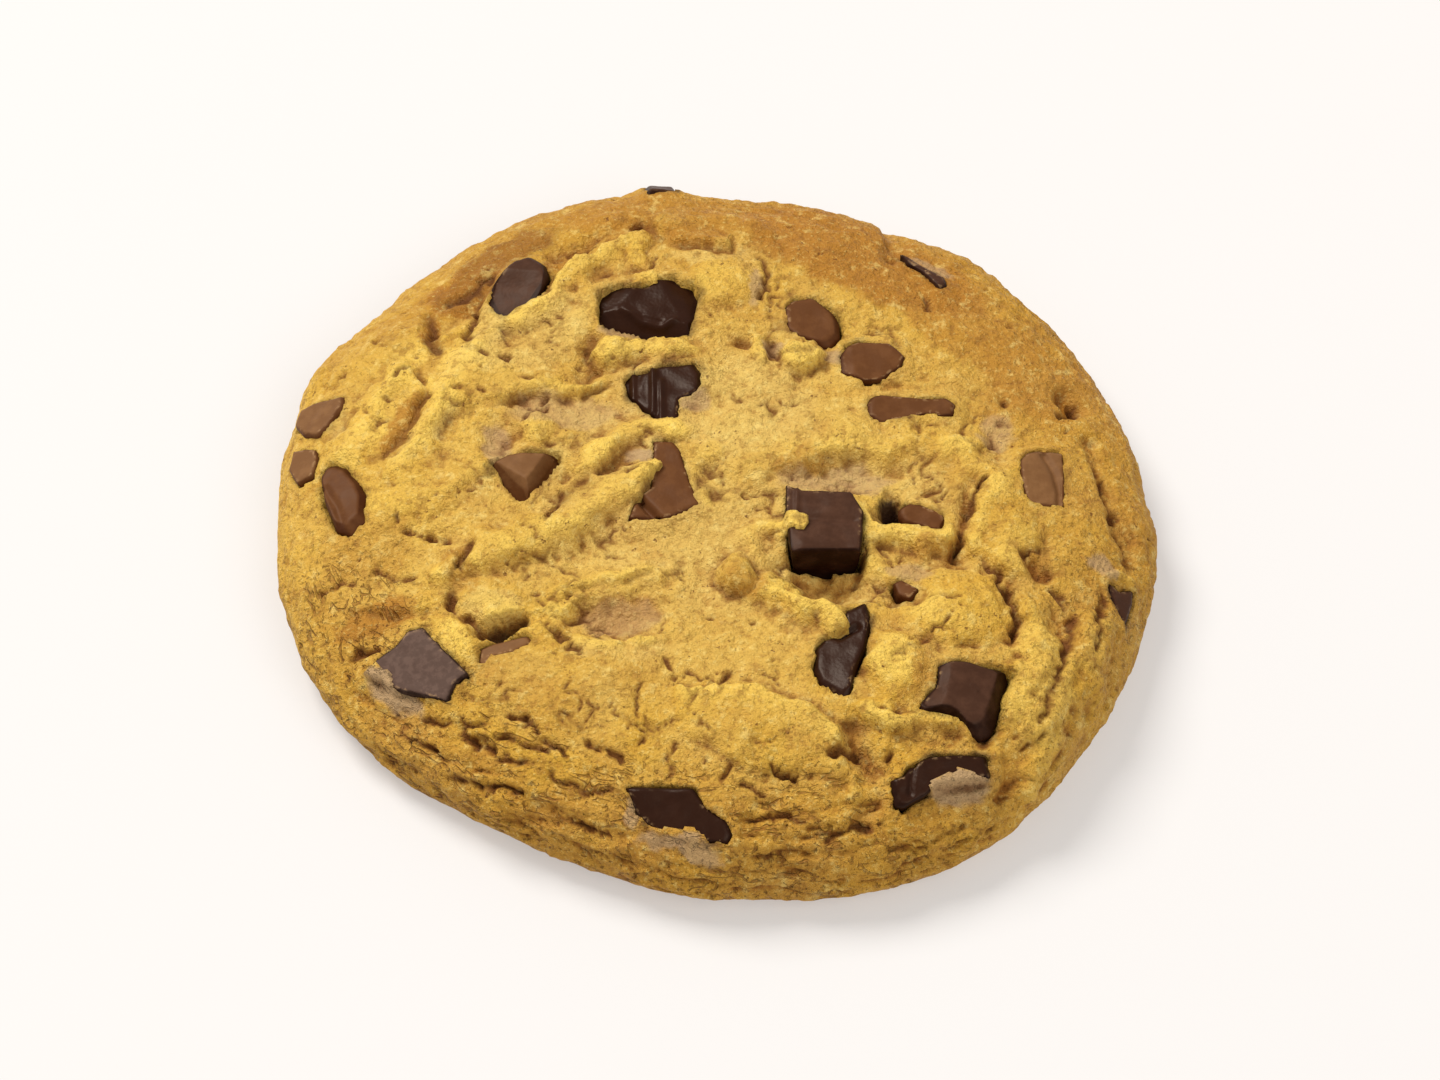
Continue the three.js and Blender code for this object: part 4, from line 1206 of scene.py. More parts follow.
@dataclass(frozen=True)
class BakedDough:
    """The dough's finish: golden skin, paler where it tore, browner where it is toasted, with
    painted highlight on crests and painted shade in dips, cracks and pores.
    """

    base: Colour = (212, 162, 55)
    # golden skin, and painted highlight on crests, bright patches and the lit side
    skin: Colour = (246, 205, 93)
    torn: Colour = (228, 192, 106)
    # browner tone: real toast at the rim, at the foot and in blotches, and painted shade in dips,
    # on the right side and in the brown patches
    toast_and_shade_tone: Colour = (176, 116, 36)
    # painted shade: the dark brown put into cracks, pits, dips and pores, where shade falls in them
    pore_and_crevice_shade: Colour = (100, 54, 18)
    # painted shade: the dark tone of the thin cracks and pores of the flaky rim
    crack: Colour = (132, 76, 26)
    smear: Colour = (188, 154, 112)
    # cocoa brown: chocolate stain, and painted shade in the gaps round the chunks and in dark
    # pockets
    cocoa: Colour = (52, 28, 18)
    dark_grain: Colour = (148, 98, 36)
    light_grain: Colour = (252, 224, 134)
    roughness: float = 0.62
    specular: float = 0.2
    blotches: Speckle = Speckle(5.0, 3.0, 0.55, Ramp(0.42, 0.75, 0.3))
    dull_mottle: Speckle = Speckle(1.5, 4.0, 0.68, Ramp(0.48, 0.34, 0.5))
    clear_mottle: Speckle = Speckle(1.5, 4.0, 0.68, Ramp(0.54, 0.7, 0.4))
    dark_sand: Speckle = Speckle(0.4, 3.0, 0.7, Ramp(0.47, 0.3, 0.5))
    light_sand: Speckle = Speckle(0.4, 3.0, 0.7, Ramp(0.56, 0.72, 0.4))
    pores: Speckle = Speckle(0.7, 3.0, 0.65, Ramp(0.38, 0.3, 0.8))
    pore_patches: Speckle = Speckle(3.2, 2.0, 0.55, Ramp(0.44, 0.6))
    layers: Speckle = Speckle(1.5, 2.0, 0.5)
    layer_edge: Ramp = Ramp(0.035, 0.008)
    layer_patches: Speckle = Speckle(2.6, 3.0, 0.55, Ramp(0.46, 0.58))
    layers_from: Ramp = Ramp(0.45, 0.9)
    flaky_pores: Speckle = Speckle(0.6, 3.0, 0.65, Ramp(0.41, 0.33, 0.8))
    flake_shade_share: float = 0.58
    coarse_crumb: Speckle = Speckle(0.95, 2.0)
    coarse_share: float = 1.2
    bump_depth: float = 0.5
    bump_strength: float = 0.9

    def material(self) -> bpy.types.Material:
        """Makes the finish, led by the dough mesh's attributes.

        Returns:
            The material.
        """
        graph = Graph("baked_dough")
        colour = graph.tint(graph.attribute("torn"), linear(self.base), self.torn)
        # golden skin with painted highlight
        colour = graph.tint(graph.attribute("skin"), colour, self.skin)
        # toast, with painted shade in dips, on the right side and on shaded flanks
        colour = graph.tint(graph.attribute("toast"), colour, self.toast_and_shade_tone)
        colour = self.grains(graph, colour)
        flakes = self.flakes(graph)
        # painted shade in the flaky rim's thin cracks and pores
        colour = graph.tint(graph.calc("MULTIPLY", flakes, self.flake_shade_share), colour, self.crack)
        colour = graph.tint(graph.attribute("smear"), colour, self.smear)
        # painted shade in cracks, pits and fine dips
        colour = graph.tint(graph.attribute("cavity"), colour, self.pore_and_crevice_shade)
        # chocolate stain and painted shade round the chunks and in dark pockets
        colour = graph.tint(graph.attribute("stain"), colour, self.cocoa)
        graph.link(colour, graph.shader.inputs["Base Color"])
        graph.shader.inputs["Roughness"].default_value = self.roughness
        graph.shader.inputs["Specular IOR Level"].default_value = self.specular
        coarse = graph.calc("MULTIPLY", graph.noise(self.coarse_crumb), self.coarse_share)
        crumb = graph.calc("ADD", graph.noise(self.dark_sand), coarse)
        height = graph.calc("SUBTRACT", crumb, flakes)
        graph.bump(height, self.bump_depth, self.bump_strength)
        return graph.material

    def flakes(self, graph: Graph) -> Socket:
        """Makes the thin cracks and the pores where the rim's crumb is flaky. The bump sinks them,
        and the finish paints them darker as painted shade.

        Args:
            graph: the material's nodes.

        Returns:
            Their share, from 0 to 1.
        """
        flaky = graph.attribute("flaky")
        level = graph.noise(self.layers, graph.attribute("lay", "Vector"))
        level = graph.calc("ABSOLUTE", graph.calc("SUBTRACT", level, 0.5))
        lines = graph.between(level, self.layer_edge)
        lines = graph.calc("MULTIPLY", lines, graph.between(flaky, self.layers_from))
        lines = graph.calc("MULTIPLY", lines, graph.speckle(self.layer_patches))
        both = graph.calc("MAXIMUM", lines, graph.speckle(self.flaky_pores))
        return graph.calc("MULTIPLY", both, flaky)

    def grains(self, graph: Graph, colour: Socket) -> Socket:
        """Adds the blotches and the dark and light grains, and paints the pores as dark specks of
        shade.

        Args:
            graph: the material's nodes.
            colour: the colour under them.

        Returns:
            The colour with them.
        """
        for speckle, tone in (
            (self.blotches, self.toast_and_shade_tone),
            (self.dull_mottle, self.dark_grain),
            (self.clear_mottle, self.light_grain),
            (self.dark_sand, self.dark_grain),
            (self.light_sand, self.light_grain),
        ):
            colour = graph.tint(graph.speckle(speckle), colour, tone)
        # painted shade: the pores are dark specks, with no hollow under them in the bump
        patches = graph.speckle(self.pore_patches)
        pores = graph.calc("MULTIPLY", graph.speckle(self.pores), patches)
        return graph.tint(pores, colour, self.pore_and_crevice_shade)


@dataclass(frozen=True)
class Chocolate:
    """A chocolate's finish, with its bloom, its upward faces painted lighter as lit, and the crumbs
    that cling to its edge.
    """

    name: str
    body: Colour
    # the lighter tone of bloom blotches and of painted light on the upward faces
    worn_and_lit: Colour
    bloom_and_lit_share: float
    roughness: float
    specular: float
    blotch: float = 1.8
    blotch_shows: Ramp = Ramp(0.4, 0.7, 0.6)
    crumbs: Colour = (188, 150, 104)
    crumb_patches: Speckle = Speckle(0.7, 3.0, 0.55, Ramp(0.52, 0.62))
    warm_shine: tuple[float, ...] = (1.0, 0.84, 0.7, 1.0)
    haze: Speckle = Speckle(0.9, 3.0)
    haze_share: float = 0.2
    waves: Speckle = Speckle(1.2, 2.0)
    fine_waves: Speckle = Speckle(0.3, 2.0)
    fine_share: float = 0.5
    bump_depth: float = 0.07
    bump_strength: float = 0.5

    def material(self) -> bpy.types.Material:
        """Makes the finish, led by the chunk mesh's attributes.

        Returns:
            The material.
        """
        graph = Graph(self.name)
        blotches = graph.speckle(Speckle(self.blotch, 4.0, 0.6, self.blotch_shows))
        # bloom blotches, and painted light on the faces that look up
        worn_and_lit = graph.calc("ADD", blotches, graph.attribute("upper"))
        worn_and_lit = graph.calc("MULTIPLY", worn_and_lit, self.bloom_and_lit_share)
        colour = graph.tint(worn_and_lit, linear(self.body), self.worn_and_lit)
        dust = graph.calc("MULTIPLY", graph.attribute("dust"), graph.speckle(self.crumb_patches))
        colour = graph.tint(dust, colour, self.crumbs)
        graph.link(colour, graph.shader.inputs["Base Color"])
        graph.shader.inputs["Specular IOR Level"].default_value = self.specular
        graph.shader.inputs["Specular Tint"].default_value = self.warm_shine
        rough = graph.calc("MULTIPLY", graph.noise(self.haze), self.haze_share)
        rough = graph.calc("ADD", rough, self.roughness)
        graph.link(rough, graph.shader.inputs["Roughness"])
        fine = graph.calc("MULTIPLY", graph.noise(self.fine_waves), self.fine_share)
        height = graph.calc("ADD", graph.noise(self.waves), fine)
        graph.bump(height, self.bump_depth, self.bump_strength)
        return graph.material


class Cocoa(Enum):
    """The chocolates that the chunks are broken from."""

    GLOSSY = Chocolate("glossy_dark_chocolate", (35, 15, 8), (54, 29, 17), 0.4, 0.22, 0.13)
    DARK = Chocolate("dark_chocolate", (36, 17, 10), (80, 52, 38), 0.62, 0.3, 0.08)
    BLOOMED = Chocolate("bloomed_dark_chocolate", (42, 26, 20), (98, 76, 66), 0.7, 0.5, 0.1,
                        0.7)
    MILK = Chocolate("milk_chocolate", (68, 34, 14), (102, 63, 34), 0.7, 0.36, 0.1)
    PALE_MILK = Chocolate("pale_milk_chocolate", (90, 54, 28), (130, 91, 56), 0.6, 0.42, 0.1)


# ---- meshes
def zip_rings(inner: list[int], outer: list[int]) -> list[tuple[int, int, int]]:
    """Joins two closed rings of vertices with triangles.

    Args:
        inner: the ring nearer the middle, counter-clockwise.
        outer: the ring round it.

    Returns:
        Triangles that face up when the rings lie flat.
    """
    triangles = []
    i = j = 0
    while i < len(inner) or j < len(outer):
        a, b = inner[i % len(inner)], outer[j % len(outer)]
        inner_next = (i + 1) / len(inner) < (j + 1) / len(outer)
        if j >= len(outer) or (i < len(inner) and inner_next):
            triangles.append((a, b, inner[(i + 1) % len(inner)]))
            i += 1
        else:
            triangles.append((a, b, outer[(j + 1) % len(outer)]))
            j += 1
    return triangles


def mesh_object(name: str, points: Points, triangles: Array) -> bpy.types.Object:
    """Makes a smooth-shaded object from points in mm.

    Args:
        name: the piece's name.
        points: the vertices, in the cookie's own plan.
        triangles: rows of three vertex numbers.

    Returns:
        The object, linked to the scene.
    """
    mesh = bpy.data.meshes.new(name)
    mesh.from_pydata(((points + RIM_CENTRE) * METRES).tolist(), [], triangles.tolist())
    mesh.shade_smooth()
    piece = bpy.data.objects.new(name, mesh)
    bpy.context.scene.collection.objects.link(piece)
    return piece


def set_attribute(mesh: bpy.types.Mesh, name: str, values: Array) -> None:
    """Stores one value from 0 to 1 for each vertex."""
    layer = mesh.attributes.new(name, "FLOAT", "POINT")
    layer.data.foreach_set("value", np.clip(values, 0, 1).astype(np.float32))


def spread_out(
    values: Array, edges: Array, rounds: int, kept: float = 0.4
) -> Array:
    """Smooths one value at each vertex over a mesh.

    Args:
        values: the values.
        edges: rows of two vertex numbers.
        rounds: how often each value is mixed with its neighbours' mean.
        kept: the share of its own value that a vertex keeps in a round.

    Returns:
        The smoothed values.
    """
    ends = np.concatenate([edges[:, 0], edges[:, 1]])
    others = np.concatenate([edges[:, 1], edges[:, 0]])
    count = np.maximum(np.bincount(ends, minlength=len(values)), 1)
    for _ in range(rounds):
        mean = np.bincount(ends, values[others], len(values)) / count
        values = kept * values + (1 - kept) * mean
    return values


class Hue(Enum):
    """A tone of the dough, by the name of the mask that it is painted into."""

    BROWN = "toast"
    GREY = "smear"
    PALE = "torn"
    GOLD = "skin"
    COCOA = "stain"


@dataclass(frozen=True)
class Patch:
    """A patch of dough that is tinted, at a plan point."""

    at: tuple[float, float]
    size: tuple[float, float]
    turn: float
    strength: float


# tinted patches: tone that the form alone doesn't give, and painted shade, shadow and highlight in
# the brown, cocoa and gold ones
TINTS: dict[Hue, tuple[Patch, ...]] = {  # where the dough's form alone doesn't give its tone
    Hue.GREY: (
        Patch((-31.4, -21.9), (4.4, 1.5), -41, 0.95), Patch((23.3, -33.6), (4.2, 1.7), 8, 0.9),
        Patch((-3.5, -39.4), (4.8, 0.9), -12, 0.75), Patch((-8.2, -36.4), (0.8, 1.4), 20, 0.7),
        Patch((37.4, -7.4), (1.6, 1.2), -30, 0.7), Patch((12, 1.8), (6.5, 1.9), 4, 0.55),
        Patch((-7.6, 4.5), (1.4, 1.4), 0, 0.85), Patch((-9.2, 19.9), (3.2, 0.8), -8, 0.6),
        Patch((-2.2, 11.6), (1.8, 1.2), 30, 0.6), Patch((11.7, 17.1), (0.7, 1.2), 0, 0.7),
        Patch((21.4, 31.9), (3.0, 1.2), -38, 0.55), Patch((4, 26.8), (0.9, 2.8), 0, 0.6),
        Patch((5.6, 18.1), (0.9, 1.7), -15, 0.7), Patch((-21.7, 6.2), (1.8, 3.2), 15, 0.6),
        Patch((28, 8.4), (2.0, 2.6), 0, 0.5), Patch((-9.5, -14.8), (4.8, 2.5), 12, 0.4),
        Patch((-15, 10.4), (6.6, 2.4), 5, 0.4), Patch((18.4, -9.6), (3.2, 1.2), 5, 0.5),
        Patch((-18.4, 11.5), (2.2, 1.5), 20, 0.45),
    ),
    # brown patches: toast at the rim, and painted shade on the flanks of ledges, folds and knobs
    # that face away from the light
    Hue.BROWN: (
        Patch((-1.8, 33.6), (4.2, 2.0), 0, 0.8), Patch((-21, 33.4), (5.4, 2.2), 30, 0.9),
        Patch((24.5, 23), (7, 5), -40, 0.6), Patch((-34, -5.6), (5, 5), 0, 0.4),
        Patch((2.2, -10.8), (2.4, 2.3), 0, 0.4), Patch((30.8, -7.4), (2.0, 1.3), 10, 0.6),
        Patch((-33.6, -13.9), (5.6, 2.0), 15, 0.85), Patch((-9.5, -14.2), (4.8, 2.0), 14, 0.7),
        Patch((-28.2, 17.4), (4.5, 1.0), 60, 0.5), Patch((-25.4, 28.4), (6.4, 3.0), 50, 0.95),
        Patch((-31.2, 8.9), (4.6, 1.2), 65, 0.75), Patch((-29.5, 25), (7, 3.0), 50, 0.5),
        Patch((-15.5, 30.5), (1.2, 3.4), -40, 0.8), Patch((14, 32.6), (17, 7), -28, 0.9),
        Patch((-4, 38), (16, 4.5), 0, 0.7), Patch((31, 17), (5, 9), 30, 0.7),
        Patch((-28.6, 21.4), (3.2, 1.1), 96, 0.85), Patch((21, -7), (2.8, 1.4), -5, 0.55),
        Patch((3.1, -11.6), (2.2, 1.6), -40, 0.6), Patch((-25, -9.6), (1.7, 3.6), 20, 0.5),
        Patch((19.8, -22.4), (1.3, 2.6), 0, 0.5), Patch((30, 12.4), (5, 3.6), 20, 0.45),
        Patch((8, 3.4), (3.4, 1.4), 20, 0.5), Patch((2, 19.2), (1.3, 1.3), 0, 0.5),
        Patch((12.4, -31), (1.8, 0.9), 0, 0.6),
    ),
    # gold patches: painted highlight on crests and lobes that catch the light
    Hue.GOLD: (
        Patch((-28.7, 15.5), (5, 6), 0, 0.7), Patch((31, -22), (3.8, 8.5), -10, 0.8),
        Patch((17.6, -20.4), (2.2, 3.2), 8, 0.8), Patch((8.3, 16.8), (2.2, 2.0), 0, 0.8),
        Patch((18.4, -5.4), (4.2, 1.4), -8, 0.8), Patch((-32.8, 10.5), (5, 1.2), 69, 0.9),
    ),
    Hue.PALE: (
        Patch((-24.6, 17.4), (7.5, 1.7), 57, 0.9), Patch((-37.8, 10.8), (2.6, 1.1), 72, 0.8),
        Patch((-19, 21), (8, 6), 30, 0.7), Patch((-29, 7), (5.8, 1.3), 55, 0.95),
        Patch((2.5, 11), (8.5, 7), 0, 0.75), Patch((-0.5, 31), (5, 1.5), 0, 0.7),
        Patch((19, 1.5), (4, 3), 0, 0.7), Patch((13.8, -11.4), (2, 3.2), -30, 0.8),
        Patch((0, -18), (9, 5), 0, 0.4), Patch((-5, -7), (8, 3.4), 10, 0.7),
        Patch((-22, -13.6), (3.6, 2), -8, 0.7), Patch((-9.5, -19), (6, 1.8), 0, 0.7),
    ),
    # cocoa patches: painted shadow in the dark hollows beside chunks, and painted shade on the rim
    # slope at the back left
    Hue.COCOA: (
        Patch((-20.6, -15.9), (2.7, 0.8), 18, 0.7), Patch((17, -0.8), (1.1, 1.5), 20, 0.95),
        Patch((-22.1, 3.9), (0.7, 2.4), -20, 0.6), Patch((-20.6, 1.6), (1.6, 0.6), -20, 0.6),
        Patch((-21, 33), (7, 3), 30, 0.22), Patch((-25.4, 28.4), (5, 2.2), 50, 0.2),
    ),
}


@dataclass(frozen=True)
class Crumb:
    """The dough's fine forms: crags and sand, flaky layers round the rim, pores and short cracks.

    The reach is how far each surface point lies from the middle, measured along the surface.
    """

    rim_radius: float
    reach: Array
    loosened: Pattern = Pattern(2.2, 0.7, 51)
    crags: Pattern = Pattern(4.4, 0.34, 61, 2)
    lumps: tuple[Pattern, ...] = (Pattern(2.1, 0.16, 63), Pattern(1.0, 0.13, 65))
    sand: Pattern = Pattern(1.2, 0.17, 71, 2)
    least_craggy: float = 0.25
    craggy_inner: Ramp = Ramp(38, 30)
    craggy_forward: float = 4
    craggy_front: Ramp = Ramp(-27, -20)
    calm_side: Sector = Sector(188, 45)
    calm_outer: Ramp = Ramp(20, 30, 0.4)
    least_torn: float = 0.6
    torn_hollows: Ramp = Ramp(0.6, -0.6)
    roll_loosened: Pattern = Pattern(1.4, 0.6, 0)
    layer_stretch: float = 3.2
    layer_salt: float = 81
    layers: Pattern = Pattern(1.3, 0.4, 83, 3)
    flake_stretch: float = 3.6
    flake_salt: float = 87
    flake_cracks: CrackNet = CrackNet(1.7, 0.42, 0.55, 89)
    flake_places: Pattern = Pattern(3.6, 1, 93)
    flake_patches: Ramp = Ramp(-0.15, 0.3)
    below_shoulder: Ramp = Ramp(12, 9)
    above_foot: Ramp = Ramp(0.4, 2.4)
    least_flaky: float = 0.3
    flaky_front: Ramp = Ramp(-10, -30)
    pit_loosened: Pattern = Pattern(0.9, 0.35, 91)
    pores: tuple[Pits, ...] = (
        Pits(3.4, 0.3, 0.45, 0.05, 94.4),
        Pits(1.7, 0.24, 0.4, 0.2, 92.7),
    )
    tear_loosened: Pattern = Pattern(1.6, 0.9, 95)
    tears: CrackNet = CrackNet(4.0, 0.4, 0.4, 97)
    tear_places: Pattern = Pattern(5.0, 1, 99)
    tear_patches: Ramp = Ramp(0.12, 0.4)
    least_tears: float = 0.35
    tear_inner: Ramp = Ramp(36, 28)
    tear_left: float = 4

    def height(self, points: Points, proud: Array) -> Array:
        """Gives the height of the crumb: crags where it tore, soft skin on the crests.

        Args:
            points: the smooth surface.
            proud: how far the large forms stand out of their surroundings.

        Returns:
            The height at each point.
        """
        x, y, _ = points.T
        loose = self.loosened.push(points)
        inner = self.craggy_inner.at(np.hypot(x, y + self.craggy_forward))
        inner *= self.craggy_front.at(y)
        calm = self.calm_side.at(x, y) * self.calm_outer.at(np.hypot(x, y))
        torn = at_least(self.least_torn, self.torn_hollows.at(proud))
        crags = self.crags.read(loose)
        for lumps in self.lumps:
            crags += lumps.billows(loose)
        crags *= torn * at_least(self.least_craggy, inner) * (1 - calm)
        return crags + self.sand.read(points) + self.wrinkles(points)

    def unrolled(self, points: Points, stretch: float, salt: float) -> Points:
        """Lays the points out along the rim, so that noise read there runs round the cookie.

        Args:
            points: the smooth surface.
            stretch: how many times longer than wide the pattern is.
            salt: picks how it is pushed about.

        Returns:
            The points, in mm across the pattern.
        """
        around = np.arctan2(points[:, 0], -points[:, 1]) * self.rim_radius / stretch
        level = np.column_stack([around, self.reach, np.zeros(len(points))])
        return Pattern(self.roll_loosened.length, self.roll_loosened.strength, salt).push(level)

    def wrinkles(self, points: Points) -> Array:
        """Reads the flaky layers and fine cracks along the front of the rim.

        Args:
            points: the surface points.

        Returns:
            Their height at each point.
        """
        _, y, z = points.T
        layers = self.layers.read(self.unrolled(points, self.layer_stretch, self.layer_salt))
        flat = self.unrolled(points, self.flake_stretch, self.flake_salt)
        patchy = self.flake_patches.at(self.flake_places.read(points))
        cracks = self.flake_cracks.read(flat) * patchy
        wall = self.below_shoulder.at(z) * self.above_foot.at(z)
        return (layers - cracks) * wall * at_least(self.least_flaky, self.flaky_front.at(y))

    def pits(self, points: Points) -> Array:
        """Reads the scattered pores and short cracks.

        Args:
            points: the surface points.

        Returns:
            Their depth at each point.
        """
        x, y, _ = points.T
        loose = self.pit_loosened.push(points)
        pores = np.maximum.reduce([pits.read(loose) for pits in self.pores])
        here = self.tear_patches.at(self.tear_places.read(points))
        here *= at_least(self.least_tears, self.tear_inner.at(np.hypot(x + self.tear_left, y)))
        tears = self.tears.read(self.tear_loosened.push(points)) * here
        return np.maximum(pores, tears)


@dataclass(frozen=True)
class Pockets:
    """The openings in the dough round the chunks, the dough that closes up to them, and the
    chocolate stain and painted contact shade round them.
    """

    chunks: list[Chunk]
    search: float = 10
    ragged: Pattern = Pattern(1.3, 0.26, 101, 2)
    patchy: Pattern = Pattern(2.2, 1, 111)
    opening: Ramp = Ramp(0.12, -0.35)
    closed_in: float = 0.3
    uneven_lip: float = 0.3
    most_snug: float = 0.8
    snug_reach: float = 1.0
    least_pull: float = 0.02
    lap_gap: float = 0.12
    lap_thick: float = 0.35
    lap_edge: Ramp = Ramp(0.3, -0.3)
    least_lap: float = 0.2
    # the halo: a patchy dark ring at each chunk's edge, chocolate smear and painted contact shade
    halo: Ramp = Ramp(0.6, -0.1)
    halo_mean: float = 0.3
    halo_uneven: float = 0.9
    least_halo: float = 0.08
    dark_stain_and_shade: float = 0.8
    milk_stain_and_shade: float = 0.45

    def read(self, points: Points, normals: Points, height: Array, cover: Array,
             thick: Array) -> tuple[Array, ...]:
        """Opens the dough round the chunks.

        Args:
            points: the smooth surface.
            normals: its outward normals.
            height: how far the dough stands out of it.
            cover: the share by which it lies over the chunks.
            thick: how thickly it does.

        Returns:
            The share by which each point sinks into a pocket, the height by which the dough closes
            up to the chunks, and the mask of chocolate stain and painted contact shade.
        """
        real = points + normals * height[:, None]
        ragged = self.ragged.read(real)
        patchy = self.patchy.read(real)
        halo_depth = np.clip(self.halo_mean + patchy * self.halo_uneven, self.least_halo, 1)
        pocket = np.zeros(len(points))
        snug = np.zeros(len(points))
        stain = np.zeros(len(points))
        for chunk in self.chunks:
            seat, look = chunk.seat, chunk.look
            near = np.linalg.norm(points - seat.origin, axis=1) < self.search
            away, flat = seat.signed(real[near])
            edge = away + ragged[near]
            closed = chunk.closed(flat)
            sunk = self.opening.at(edge + self.closed_in * closed)
            pocket[near] = np.maximum(pocket[near], sunk)
            wanted = seat.top + look.lip + self.uneven_lip * patchy[near] - flat[:, 2]
            wanted = self.most_snug * np.tanh(wanted / self.most_snug)
            pull = bell(np.maximum(away, 0) / self.snug_reach) * closed * look.snug
            pulled = np.where(pull > self.least_pull, wanted * pull, snug[near])
            snug[near] = pulled * (1 - cover[near])
            level = seat.top + self.lap_gap + self.lap_thick * thick[near]
            over = np.maximum((level - flat[:, 2]) * self.lap_edge.at(away), snug[near])
            snug[near] = np.where(cover[near] > self.least_lap, over, snug[near])
            strength = self.dark_stain_and_shade if chunk.is_dark() else self.milk_stain_and_shade
            halo = self.halo.at(edge) * halo_depth[near] * strength
            stain[near] = np.maximum(stain[near], halo)
        return pocket, snug, stain


@dataclass(frozen=True)
class Tones:
    """Where the dough is toasted, torn, golden, smeared, stained or flaky, and where highlight and
    shade are painted into it.
    """

    relief: Relief
    # the side the light comes from, painted lighter: less rim toast and more golden skin
    sunny_side: Sector = Sector(172, 36)
    front_right: Sector = Sector(-38, 26)
    clouds: Pattern = Pattern(7, 0.2, 131, 3)
    rim: Ramp = Ramp(29, 41, 0.44)
    sunny_rim: float = 0.8
    fair_rim: float = 0.6
    # painted shade: browner towards the right, the side turned away from the light
    right: Ramp = Ramp(8, 40, 0.08)
    foot: Ramp = Ramp(3.2, 0.4, 0.16)
    middle: tuple[float, float] = (-1, 1)
    middle_radius: float = 25
    middle_torn: float = 0.55
    hollows: Ramp = Ramp(0.3, -0.8, 0.45)
    # crests are golder: their skin, and painted highlight on them
    crests: Ramp = Ramp(0, 0.9, 0.9)
    sunny_skin: Ramp = Ramp(20, 34, 0.35)
    # painted shade in dips: they lose golden skin and gain brown
    fine_dips: Ramp = Ramp(0, 0.4)
    wide_dips: Ramp = Ramp(0.1, 0.9)
    dip_shade_on_skin: float = 0.3
    dip_shade_on_toast: float = 0.4
    # painted shade: how strongly the cracks, pits and fine dips are darkened
    hole_shade_gain: float = 1.5
    crevice_shade_dips: Ramp = Ramp(0.1, 0.45, 0.6)
    most_crevice_shade: float = 0.85
    flaky_outer: Ramp = Ramp(27, 36)
    flaky_front: Ramp = Ramp(6, -14)
    loosened: tuple[Pattern, ...] = (Pattern(2.4, 0.9, 141), Pattern(0.8, 0.4, 143))
    patch_edge: Ramp = Ramp(0, 0.55)
    # painted shade in the underside's dimples
    under_crevice_shade: float = 1.2  # for each mm of depth
    most_under_crevice_shade: float = 0.6
    under_toast: float = 0.75
    under_clouds: Pattern = Pattern(7, 0.2, 171, 3)

    def upper(self, points: Points, proud: Array, fine: Array, sunk: Array,
              holes: Array) -> dict[str, Array]:
        """Makes the masks that lead the finish of the crown and the wall, with painted highlight on
        crests and the lit side, and painted shade in dips, cracks, pits and on the right.

        Args:
            points: the smooth surface.
            proud: how far the large forms stand out of their surroundings.
            fine: how far each point lies below its nearest surroundings.
            sunk: how far it lies below its wider surroundings.
            holes: the depth of the cracks and pits.

        Returns:
            The masks by name.
        """
        x, y, z = points.T
        outer = np.hypot(x, y)
        sunny = self.sunny_side.at(x, y)
        fair = 1 - self.fair_rim * self.front_right.at(x, y)
        clouds = self.clouds.read(points)
        dip_shade = self.fine_dips.at(fine) + self.wide_dips.at(sunk)
        # browned rim, lifted by painted light on the lit side
        rim = self.rim.at(outer) * (1 - self.sunny_rim * sunny) * fair
        toast = rim + self.right.at(x) + self.foot.at(z) + clouds
        middle = bell(np.hypot(x - self.middle[0], y - self.middle[1]) / self.middle_radius)
        torn = middle * self.middle_torn + self.hollows.at(proud) + clouds
        skin = self.crests.at(proud) + sunny * self.sunny_skin.at(outer)
        # painted shade in cracks, pits and fine dips
        cavity = holes * self.hole_shade_gain + self.crevice_shade_dips.at(fine)
        masks = {
            "cavity": np.clip(cavity, 0, self.most_crevice_shade),
            "torn": torn,
            "skin": skin - dip_shade * self.dip_shade_on_skin,
            "toast": toast + dip_shade * self.dip_shade_on_toast,
            "smear": np.zeros(len(points)),
            "stain": np.zeros(len(points)),
            "flaky": self.flaky_outer.at(outer) * self.flaky_front.at(y) * fair,
        }
        self.paint(points, masks)
        return masks

    def paint(self, points: Points, masks: dict[str, Array]) -> None:
        """Adds the tinted patches, among them painted shade, shadow and highlight.

        Args:
            points: the surface points.
            masks: the masks, which it changes.
        """
        loose = points
        for pattern in self.loosened:
            loose = pattern.push(loose)
        for hue, patches in TINTS.items():
            mask = masks[hue.value]
            for patch in patches:
                share = self.relief.mound(loose, Mound(patch.at, patch.size, patch.turn, 1, 1))
                mask += np.clip(patch.strength - mask, 0, 1) * self.patch_edge.at(share)

    def under(self, points: Points) -> dict[str, Array]:
        """Returns the masks of the underside that aren't empty: its toast, and painted shade in its
        dimples, darker the deeper they go.
        """
        cavity = np.clip(points[:, 2] * self.under_crevice_shade, 0, self.most_under_crevice_shade)
        return {"cavity": cavity, "toast": self.under_toast + self.under_clouds.read(points)}


